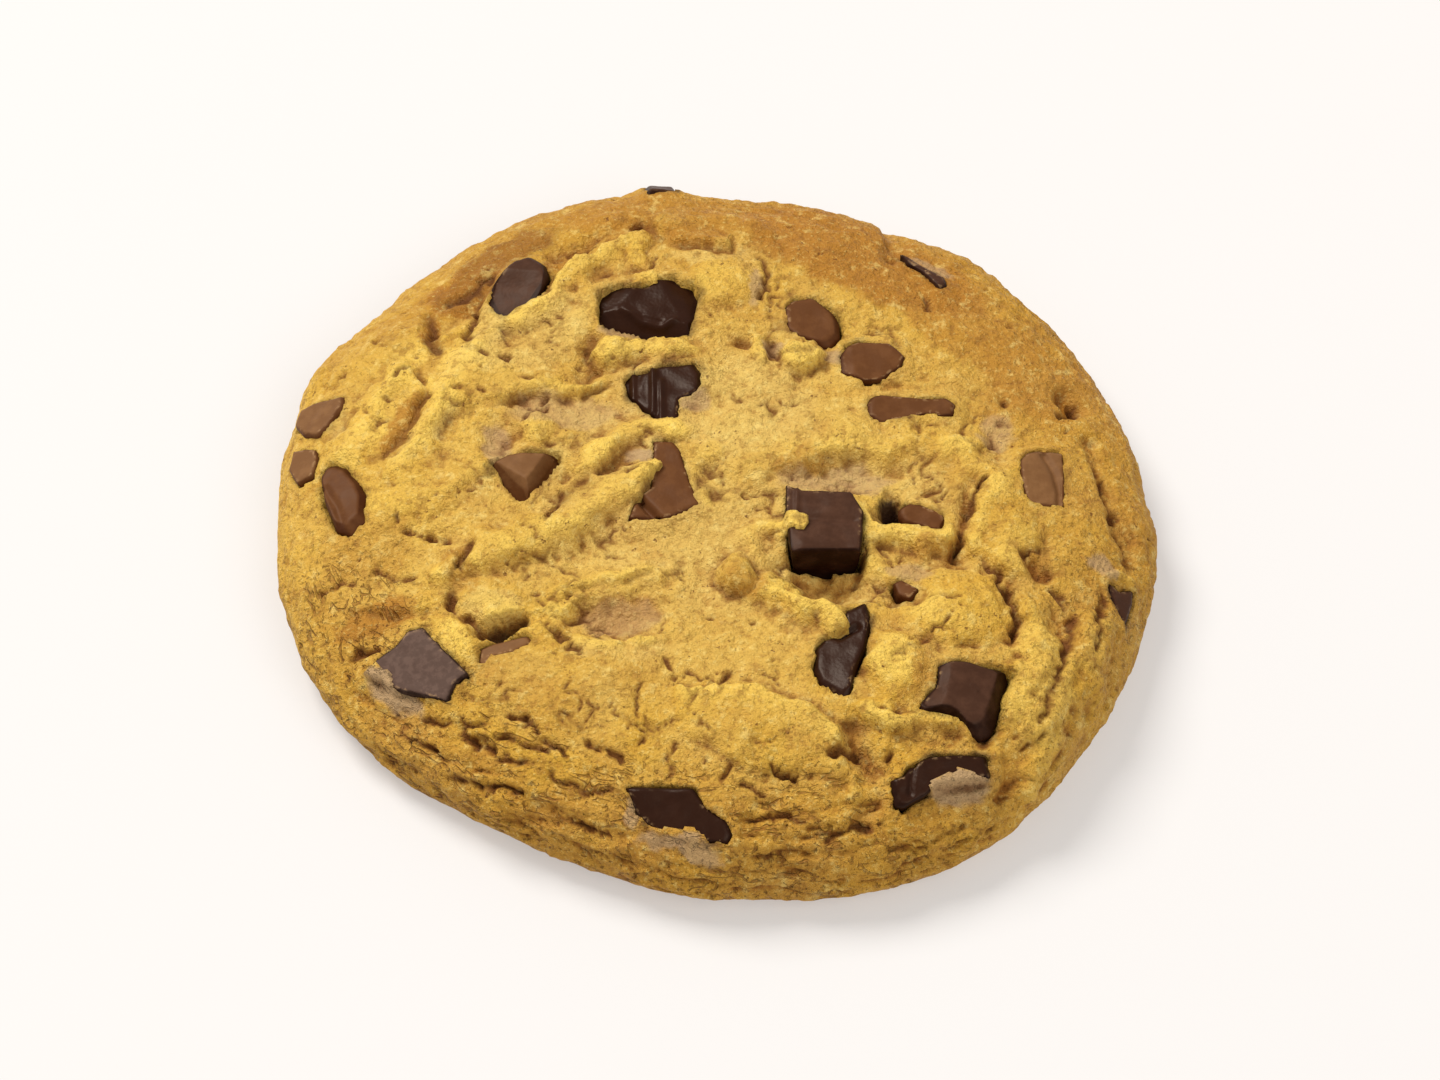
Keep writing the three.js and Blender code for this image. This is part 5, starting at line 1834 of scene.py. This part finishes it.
@dataclass
class DoughBody:
    """The baked body: crown, shoulder, wall and underside in one closed mesh."""

    form: CookieForm
    relief: Relief
    chunks: list[Chunk]
    box: Array
    ring_step: float = 0.31
    spokes: int = 6
    most_spokes: int = 138
    base_rings: int = 46
    pocket_depth: float = 3.6
    broad_rounds: int = 120
    near_rounds: int = 14
    wide_rounds: int = 50
    lap_calm: float = 0.5
    lap_closes: Ramp = Ramp(0.2, 0.5)
    lap_cleans: Ramp = Ramp(0.1, 0.4)
    foot_height: float = 0.35
    box_margin: float = 0.6
    box_fill: float = 0.98
    dimples: Pits = Pits(2.8, 1.1, 0.35, 0.55, 151, (1, 1))
    base_rough: Pattern = Pattern(3.0, 0.12, 161, 2)
    base_edge: Ramp = Ramp(1.0, 0.96)
    lay_stretch: float = 2.6
    lay_salt: float = 87
    crown_disc: tuple[float, float] = (0.36, 0.35)  # middle and radius in the bake layout
    base_disc: tuple[float, float] = (0.79, 0.2)
    base_radius: float = 47
    points: Points = field(init=False)
    normals: Points = field(init=False)
    smooth: Points = field(init=False)
    crumb: Crumb = field(init=False)
    edges: Array = field(init=False)
    masks: dict[str, Array] = field(init=False)

    def build(self) -> bpy.types.Object:
        """Makes the whole mesh, with its masks and its bake layout.

        Returns:
            The finished dough object.
        """
        rings = self.lay_rings()
        upper = np.array([t for a, b in zip(rings[:-1], rings[1:]) for t in zip_rings(a, b)])
        self.edges = np.vstack([upper[:, [0, 1]], upper[:, [1, 2]]])
        self.shape()
        base_points, lower = self.underside(rings[-1])
        points = np.vstack([self.points, base_points])
        piece = mesh_object("cookie_dough", points, np.vstack([upper, lower]))
        self.store(piece.data, points)
        self.lay_out(piece.data, len(upper), points)
        return piece

    def lay_rings(self) -> list[list[int]]:
        """Lays the smooth surface in rings from the middle to the foot.

        Returns:
            The vertices of each ring.
        """
        profile = self.form.profile(self.ring_step)
        slopes = np.gradient(profile[:, :2], axis=0)
        points, normals, rings, reach = [], [], [], []
        start = 0
        for k, (share, level, length) in enumerate(profile):
            count = 1 if k == 0 else self.spokes * min(k, self.most_spokes)
            bearing = 2 * math.pi * np.arange(count) / count
            radius = self.form.radius(bearing)
            outward = np.column_stack([np.cos(bearing), np.sin(bearing), np.zeros(count)])
            spot = outward * (share * radius)[:, None]
            spot[:, 2] = level
            normal = outward * -slopes[k, 1]
            normal[:, 2] = slopes[k, 0] * radius
            if k == 0:
                normal[:] = (0, 0, 1)
            rings.append(list(range(start, start + count)))
            start += count
            points.append(spot)
            normals.append(normal / np.linalg.norm(normal, axis=1)[:, None])
            reach.append(np.full(count, length))
        self.smooth = np.vstack(points)
        self.normals = np.vstack(normals)
        self.crumb = Crumb(self.form.rim_radius, np.concatenate(reach))
        return rings

    def shape(self) -> None:
        """Moves the smooth surface to the real one, and sets the masks that lead the finish."""
        smooth, normals = self.smooth, self.normals
        large, cover, thick = self.relief.large(smooth, normals)
        proud = large - spread_out(large, self.edges, self.broad_rounds)
        crumb = self.crumb.height(smooth, proud) * (1 - self.lap_calm * cover)
        holes = self.relief.cracks(smooth, normals) + self.crumb.pits(smooth)
        height = large + crumb - holes
        pockets = Pockets(self.chunks)
        pocket, snug, stain = pockets.read(smooth, normals, height, cover, thick)
        pocket = pocket * (1 - self.lap_closes.at(cover))
        height = height + snug
        settled = np.clip(smooth[:, 2] / self.form.wall_height, 0, 1)
        stand = height * at_least(self.foot_height, settled) - pocket * self.pocket_depth
        shaped = smooth + normals * stand[:, None]
        shaped[:, 2] = smooth[:, 2] + (shaped[:, 2] - smooth[:, 2]) * settled
        self.points = self.kept_inside(shaped)
        near = spread_out(height, self.edges, self.near_rounds)
        sunk = spread_out(near, self.edges, self.wide_rounds) - height
        self.masks = Tones(self.relief).upper(smooth, proud, near - height, sunk, holes)
        stain = np.maximum(stain, self.masks["stain"])
        self.masks["stain"] = stain * (1 - self.lap_cleans.at(cover))

    def kept_inside(self, points: Points) -> Points:
        """Eases points that leave the solid cookie's box back inside it.

        Args:
            points: the surface points.

        Returns:
            The points, all inside the box.
        """
        margin = self.box_margin
        low, high = self.box
        over = np.maximum(points - (high - margin), 0)
        under = np.maximum((low + margin) - points, 0)
        under[:, 2] = 0
        eased = points - over + margin * np.tanh(over / margin) * self.box_fill
        return eased + under - margin * np.tanh(under / margin) * self.box_fill

    def underside(self, foot: list[int]) -> tuple[Points, Array]:
        """Closes the underside.

        Args:
            foot: the vertices of the foot ring.

        Returns:
            The points inside the foot ring and the triangles that face down.
        """
        edge = self.points[foot]
        start = len(self.points)
        points = [np.zeros((1, 3))]
        rings = [[start]]
        inner = [0.0]
        for k in range(1, self.base_rings):
            count = self.spokes * k
            pick = np.linspace(0, len(foot), count, endpoint=False)
            low = np.floor(pick).astype(int)
            part = (pick - low)[:, None]
            rim = edge[low] * (1 - part) + edge[(low + 1) % len(foot)] * part
            first = rings[-1][-1] + 1
            points.append(rim * (k / self.base_rings))
            rings.append(list(range(first, first + count)))
            inner += [k / self.base_rings] * count
        rings.append(foot)
        base = np.vstack(points)
        rough = np.clip(self.base_rough.read(base), 0, self.base_rough.strength)
        base[:, 2] = (self.dimples.read(base) + rough) * self.base_edge.at(np.array(inner))
        lower = [(a, c, b) for p, q in zip(rings[:-1], rings[1:]) for a, b, c in zip_rings(p, q)]
        return base, np.array(lower)

    def store(self, mesh: bpy.types.Mesh, points: Points) -> None:
        """Stores the masks and the rim's unrolled places on the mesh.

        Args:
            mesh: the dough's mesh.
            points: its vertices in mm.
        """
        below = points[len(self.points):]
        under = Tones(self.relief).under(below)
        for name, values in self.masks.items():
            lower = under.get(name, np.zeros(len(below)))
            set_attribute(mesh, name, np.concatenate([values, lower]))
        rolled = self.crumb.unrolled(self.smooth, self.lay_stretch, self.lay_salt)
        layer = mesh.attributes.new("lay", "FLOAT_VECTOR", "POINT")
        lay = np.vstack([rolled, below]) * METRES
        layer.data.foreach_set("vector", lay.astype(np.float32).ravel())

    def lay_out(self, mesh: bpy.types.Mesh, upper: int, points: Points) -> None:
        """Lays the crown and wall out as one disc and the underside as a smaller one.

        Args:
            mesh: the dough's mesh.
            upper: how many of its triangles are above the underside.
            points: its vertices in mm.
        """
        corner = np.zeros(len(mesh.loops), int)
        mesh.loops.foreach_get("vertex_index", corner)
        bearing = np.arctan2(points[:, 1], points[:, 0])
        reach = self.crumb.reach / self.crumb.reach.max()
        reach = np.concatenate([reach, np.zeros(len(points) - len(reach))])
        ray = np.column_stack([np.cos(bearing), np.sin(bearing)])
        crown = self.crown_disc[0] + self.crown_disc[1] * reach[:, None] * ray
        flat = self.base_disc[0] + self.base_disc[1] * points[:, :2] / self.base_radius
        is_upper = np.arange(len(corner)) < upper * 3
        uv = np.where(is_upper[:, None], crown[corner], flat[corner])
        layer = mesh.uv_layers.new(name="OFBake")
        layer.data.foreach_set("uv", uv.astype(np.float32).ravel())


@dataclass(frozen=True)
class Cut:
    """A broken face: a plane through a plan point on the top, sloping down towards a bearing."""

    at: tuple[float, float]
    bearing: float
    slope: float


@dataclass(frozen=True)
class Mark:
    """A raised fold line on a chunk, or a crack where its height is negative."""

    path: Path
    width: float
    height: float


@dataclass(frozen=True)
class ChunkLook:
    """How one chunk looks: its chocolate, its broken faces and how the dough meets it.

    The dough stands away from the chunk on the side of the open bearing, and elsewhere it comes
    up to the chunk's top and past it by the lip, as far as it is snug.
    """

    cocoa: Cocoa
    cuts: tuple[Cut, ...] = ()
    marks: tuple[Mark, ...] = ()
    lip: float = 0.1
    open_to: float | None = None
    snug: float = 1.0


LOOKS: dict[str, ChunkLook] = {
    "dark_chunk_1": ChunkLook(Cocoa.DARK, (Cut((-19.4, 28.6), 255, 20),), (), -0.5, -35),
    "dark_chunk_2": ChunkLook(
        Cocoa.GLOSSY,
        (Cut((-7, 22.6), -105, 32), Cut((-10, 24), 140, 18), Cut((-4.6, 24.6), 25, 22)),
        (Mark(((-9.5, 23.6), (-7.5, 21.9), (-5.5, 21.3), (-4.2, 22)), 0.35, 0.35),),
        0.6,
    ),
    "dark_chunk_3": ChunkLook(
        Cocoa.GLOSSY,
        (Cut((-7.6, 13), 165, 20),),
        (
            Mark(((-8.3, 15), (-8.3, 12)), 0.25, 0.35),
            Mark(((-6.4, 16), (-6.3, 10)), 0.3, 0.45),
            Mark(((-5.6, 14), (-5.5, 9)), 0.25, 0.35),
        ),
        0.4,
    ),
    "dark_chunk_4": ChunkLook(
        Cocoa.DARK,
        (Cut((7.6, -6.4), 215, 16),),
        (Mark(((7.9, -0.8), (7.8, -3.8)), 0.2, 0.25), Mark(((6, -4.3), (13.4, -4.6)), 0.5, -0.3)),
        -1.2,
        -90,
    ),
    "dark_chunk_5": ChunkLook(
        Cocoa.GLOSSY, (), (Mark(((12, -17.9), (13.6, -17)), 0.35, -0.6),), 0.1, -20
    ),
    "dark_chunk_6": ChunkLook(
        Cocoa.DARK,
        (Cut((26.7, -24.2), -9, 58), Cut((22.3, -22.8), 172, 16)),
        (Mark(((24.6, -23.6), (25.2, -24.2)), 0.15, 0.15),),
        -0.6,
        0,
    ),
    "dark_chunk_7": ChunkLook(
        Cocoa.GLOSSY, (), (Mark(((19, -31.6), (18.6, -35)), 0.3, -0.3),), -0.2, -90
    ),
    "dark_chunk_8": ChunkLook(Cocoa.GLOSSY, (), (), 0.0, 90),
    "dark_chunk_9": ChunkLook(Cocoa.BLOOMED, (), (), -0.3),
    "dark_chunk_10": ChunkLook(Cocoa.DARK, snug=0.6),
    "dark_chunk_11": ChunkLook(Cocoa.DARK, snug=0.6),
    "dark_chunk_12": ChunkLook(Cocoa.DARK, snug=0.6),
    "milk_chunk_1": ChunkLook(Cocoa.MILK, lip=0.1, open_to=-30),
    "milk_chunk_2": ChunkLook(Cocoa.MILK, (Cut((13.6, 16.4), 185, 14),), (), -0.1),
    "milk_chunk_3": ChunkLook(Cocoa.MILK, lip=0.0),
    "milk_chunk_4": ChunkLook(
        Cocoa.PALE_MILK,
        (),
        (Mark(((32.4, 5.6), (33.4, 3.4), (33.9, 1), (33.8, -1)), 0.4, -0.45),),
        0.0,
    ),
    "milk_chunk_5": ChunkLook(
        Cocoa.MILK, (), (Mark(((-7.9, -0.8), (-5.8, -3.6)), 0.4, -1.0),), 0.0
    ),
    "milk_chunk_6": ChunkLook(
        Cocoa.PALE_MILK, (Cut((-17.9, 3.2), -28, 52), Cut((-20.2, 2.6), 232, 50)), (), 0.0, 215
    ),
    "milk_chunk_7": ChunkLook(
        Cocoa.MILK, (), (Mark(((-38.8, 2), (-37.6, -0.5), (-37, -2.6)), 0.4, -0.3),), -0.5, 230
    ),
    "milk_chunk_8": ChunkLook(Cocoa.PALE_MILK, lip=-0.1, snug=0.5),
    "milk_chunk_9": ChunkLook(Cocoa.PALE_MILK, lip=-0.1, snug=0.5),
    "milk_chunk_10": ChunkLook(Cocoa.PALE_MILK, lip=0.2, open_to=90),
    "milk_chunk_11": ChunkLook(Cocoa.MILK, lip=0.2, open_to=160),
    "milk_chunk_12": ChunkLook(Cocoa.MILK, lip=0.0, open_to=200),
}


@dataclass
class Chunk:
    """A broken piece of chocolate, worked from its solid."""

    node: bpy.types.Object
    look: ChunkLook
    seat: ChunkSeat
    bevel: float = 0.22
    bevel_steps: int = 2
    bevel_bulge: float = 0.6
    flat_degrees: float = 1
    voxel: float = 0.2
    facet_length: float = 3.2
    facet: float = 0.15
    facet_salt: float = 210
    open_side: Ramp = Ramp(0.35, 0.85)
    top_side: Ramp = Ramp(0.7, 0.97)
    crumbed_edge: Ramp = Ramp(-0.6, -0.15, 0.7)

    def is_dark(self) -> bool:
        """Returns whether it is dark chocolate."""
        return self.node.name.startswith("dark")

    def closed(self, flat: Points) -> Array:
        """Reads how much the dough closes up to the chunk.

        Args:
            flat: points in the chunk's own plane.

        Returns:
            A share for each, from 0 on the chunk's open side to 1.
        """
        if self.look.open_to is None:
            return np.ones(len(flat))
        bearing = math.radians(self.look.open_to)
        length = np.maximum(np.linalg.norm(flat[:, :2], axis=1), TINY)
        towards = (flat[:, 0] * math.cos(bearing) + flat[:, 1] * math.sin(bearing)) / length
        return 1 - self.open_side.at(towards)

    def build(self, index: int) -> bpy.types.Object:
        """Makes the chunk's piece.

        Args:
            index: picks the pattern of its faces.

        Returns:
            The finished object.
        """
        shape = bmesh.new()
        shape.from_mesh(self.node.data)
        bmesh.ops.remove_doubles(shape, verts=shape.verts, dist=WELD)
        flat = math.radians(self.flat_degrees)
        bmesh.ops.dissolve_limit(shape, angle_limit=flat, verts=shape.verts, edges=shape.edges)
        bmesh.ops.bevel(
            shape,
            geom=list(shape.edges),
            offset=self.bevel * METRES,
            segments=self.bevel_steps,
            profile=self.bevel_bulge,
            affect="EDGES",
            clamp_overlap=True,
        )
        mesh = bpy.data.meshes.new(f"{self.node.name}_broken")
        shape.to_mesh(mesh)
        shape.free()
        piece = bpy.data.objects.new(f"{self.node.name}_broken", mesh)
        bpy.context.scene.collection.objects.link(piece)
        self.remesh(piece)
        self.work(piece.data, index)
        return piece

    def remesh(self, piece: bpy.types.Object) -> None:
        """Gives the piece an even fine mesh.

        Args:
            piece: the chunk's object.
        """
        modifier = piece.modifiers.new("even", "REMESH")
        modifier.mode = "VOXEL"
        modifier.voxel_size = self.voxel * METRES
        graph = bpy.context.evaluated_depsgraph_get()
        mesh = bpy.data.meshes.new_from_object(piece.evaluated_get(graph))
        piece.modifiers.clear()
        piece.data = mesh
        mesh.shade_smooth()

    def work(self, mesh: bpy.types.Mesh, index: int) -> None:
        """Cuts, marks and roughens the chunk, and sets the masks that lead its finish: upward faces
        painted lighter as lit, and crumbs by the edge.

        Args:
            mesh: the chunk's even fine mesh.
            index: picks the pattern of its faces.
        """
        count = len(mesh.vertices)
        flat = np.zeros(count * 3)
        mesh.vertices.foreach_get("co", flat)
        points = flat.reshape(-1, 3) / METRES - RIM_CENTRE
        mesh.vertices.foreach_get("normal", flat)
        normals = flat.reshape(-1, 3).copy()
        points = self.cut(points)
        facets = Pattern(self.facet_length, self.facet, self.facet_salt + index, 2)
        height = facets.read(points)
        height += self.marks(points)
        moved = points + normals * (height - 0.5 * self.facet)[:, None]
        mesh.vertices.foreach_set("co", ((moved + RIM_CENTRE) * METRES).ravel())
        mesh.update()
        away, flat = self.seat.signed(points)
        # painted light: faces that look up are made lighter in the finish
        upper = self.top_side.at(normals @ self.seat.upright)
        dust = self.crumbed_edge.at(away) * upper * self.closed(flat)
        set_attribute(mesh, "upper", upper)
        set_attribute(mesh, "dust", dust)

    def cut(self, points: Points) -> Points:
        """Presses what lies outside the broken faces back to them.

        Args:
            points: the chunk's points.

        Returns:
            The points inside all the faces.
        """
        seat = self.seat
        axes = np.array([seat.across, seat.along, seat.upright])
        flat = seat.flat(points)
        for cut in self.look.cuts:
            bearing, slope = math.radians(cut.bearing), math.radians(cut.slope)
            lean = math.sin(slope)
            normal = np.array([math.cos(bearing) * lean, math.sin(bearing) * lean, math.cos(slope)])
            foot = np.array([*cut.at, seat.origin[2]])
            start = seat.flat(foot[None])[0]
            start[2] = seat.top
            out = np.maximum((flat - start) @ normal, 0)
            flat = flat - out[:, None] * normal
        return seat.origin + flat @ axes

    def marks(self, points: Points) -> Array:
        """Reads the fold lines and cracks.

        Args:
            points: the chunk's points.

        Returns:
            Their height at each point.
        """
        level = np.column_stack([points[:, :2], np.zeros(len(points))])
        up = np.tile([0.0, 0.0, 1.0], (len(points), 1))
        height = np.zeros(len(points))
        for mark in self.look.marks:
            path = np.column_stack([np.array(mark.path, float), np.zeros(len(mark.path))])
            away, _, _ = Relief.to_path(level, up, path)
            height += mark.height * bell(away / mark.width)
        return height


# ---- studio
@dataclass(frozen=True)
class Studio:
    """The pale floor, the soft light from the back left with its weaker fill, and the camera."""

    elevation: float = 52.0
    distance: float = 800.0
    aim: tuple[float, float, float] = (0.3, 3.8, 0.0)
    lens: float = 200.0
    sensor_width: float = 36.0
    clip_start: float = 0.01  # metres
    floor_half: float = 3.0  # metres
    floor_colour: Colour = (252, 248, 245)
    floor_albedo: float = 0.46
    floor_glow: float = 0.41
    lamp_colour: tuple[float, float, float] = (1.0, 0.985, 0.955)
    lamp_distance: float = 2.4  # metres
    key_bearing: float = 138.0
    key_elevation: float = 52.0
    key_size: float = 1.3  # metres
    key_watts: float = 57.0
    fill_bearing: float = -48.0
    fill_elevation: float = 48.0
    fill_size: float = 1.8  # metres
    fill_watts: float = 18.0
    sky_colour: tuple[float, ...] = (0.985, 0.985, 0.98, 1)
    sky: float = 0.42

    def place(self) -> None:
        """Puts the floor, the light, the sky and the camera in the scene."""
        self.floor()
        self.lamp("key", self.key_bearing, self.key_elevation, self.key_size, self.key_watts)
        self.lamp("fill", self.fill_bearing, self.fill_elevation, self.fill_size, self.fill_watts)
        self.surround()
        self.camera()
        bpy.context.scene.view_settings.view_transform = "Standard"

    def floor(self) -> None:
        """Makes the floor and marks it as stage."""
        half = self.floor_half
        mesh = bpy.data.meshes.new("floor")
        corners = [(-half, -half, 0), (half, -half, 0), (half, half, 0), (-half, half, 0)]
        mesh.from_pydata(corners, [], [(0, 1, 2, 3)])
        floor = bpy.data.objects.new("floor", mesh)
        bpy.context.scene.collection.objects.link(floor)
        graph = Graph("pale_floor")
        tone = linear(self.floor_colour)
        dimmed = [self.floor_albedo * c for c in tone[:3]]
        graph.shader.inputs["Base Color"].default_value = (*dimmed, 1)
        graph.shader.inputs["Roughness"].default_value = 1.0
        graph.shader.inputs["Specular IOR Level"].default_value = 0.0
        graph.shader.inputs["Emission Color"].default_value = tone
        graph.shader.inputs["Emission Strength"].default_value = self.floor_glow
        mesh.materials.append(graph.material)
        floor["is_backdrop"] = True

    def lamp(self, name: str, bearing: float, elevation: float, size: float, watts: float) -> None:
        """Makes a large soft light that faces the cookie.

        Args:
            name: the light's name.
            bearing: where it stands round the cookie, in degrees from +X.
            elevation: how high it stands, in degrees.
            size: its diameter in metres.
            watts: its power.
        """
        turn, rise = math.radians(bearing), math.radians(elevation)
        level = math.cos(rise)
        towards = Vector((math.cos(turn) * level, math.sin(turn) * level, math.sin(rise)))
        lamp = bpy.data.lights.new(name, "AREA")
        lamp.shape = "DISK"
        lamp.size = size
        lamp.energy = watts
        lamp.color = self.lamp_colour
        light = bpy.data.objects.new(name, lamp)
        light.location = towards * self.lamp_distance
        light.rotation_euler = towards.to_track_quat("Z", "Y").to_euler()
        bpy.context.scene.collection.objects.link(light)

    def surround(self) -> None:
        """Gives the soft even light from all round."""
        world = bpy.data.worlds.new("soft_box")
        world.use_nodes = True
        background = world.node_tree.nodes["Background"]
        background.inputs["Color"].default_value = self.sky_colour
        background.inputs["Strength"].default_value = self.sky
        bpy.context.scene.world = world

    def camera(self) -> None:
        """Makes the camera at the photograph's angle."""
        rise = math.radians(self.elevation)
        back = Vector((0, -math.cos(rise), math.sin(rise)))
        aim = Vector((np.array(self.aim) + RIM_CENTRE) * METRES)
        lens = bpy.data.cameras.new("camera")
        lens.lens = self.lens
        lens.sensor_width = self.sensor_width
        lens.clip_start = self.clip_start
        camera = bpy.data.objects.new("camera", lens)
        camera.location = aim + back * self.distance * METRES
        camera.rotation_euler = back.to_track_quat("Z", "Y").to_euler()
        bpy.context.scene.collection.objects.link(camera)
        bpy.context.scene.camera = camera


# ---- cookie
@dataclass
class Cookie:
    """The whole cookie: its dough and its chunks."""

    nodes: dict[str, bpy.types.Object]
    box: Array

    def build(self) -> None:
        """Builds every piece, dresses it, and ties it to its solid."""
        form = CookieForm()
        chunks = [Chunk(self.nodes[name], look, ChunkSeat.of(self.nodes[name], form))
                  for name, look in LOOKS.items()]
        dough = DoughBody(form, Relief(form, FoldMap()), chunks, self.box).build()
        dough.data.materials.append(BakedDough().material())
        self.tie(dough, "dough", "baked_dough")
        finishes = {cocoa: cocoa.value.material() for cocoa in Cocoa}
        for index, chunk in enumerate(chunks):
            piece = chunk.build(index)
            piece.data.materials.clear()
            piece.data.materials.append(finishes[chunk.look.cocoa])
            kind = chunk.node.name.split("_")[0]
            self.tie(piece, chunk.node.name, f"{kind}_chocolate")

    @staticmethod
    def tie(piece: bpy.types.Object, node: str, slot: str) -> None:
        """Makes a piece ride on the cookie's body and stand for its solid.

        Args:
            piece: the finished piece.
            node: the solid that it replaces.
            slot: the name of the piece's material slot; not used.
        """
        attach(piece, "root")
        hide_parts(node)
        LOG.info("%s: %d faces", piece.name, len(piece.data.polygons))


def main() -> None:
    """Builds the cookie and its studio."""
    logging.basicConfig(level=logging.INFO, format="%(name)s %(message)s")
    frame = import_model()
    cad_box = [list(corner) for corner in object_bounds()]
    Cookie(frame["nodes"], np.array(cad_box) / METRES - RIM_CENTRE).build()
    Studio().place()


if __name__ == "__main__":
    main()
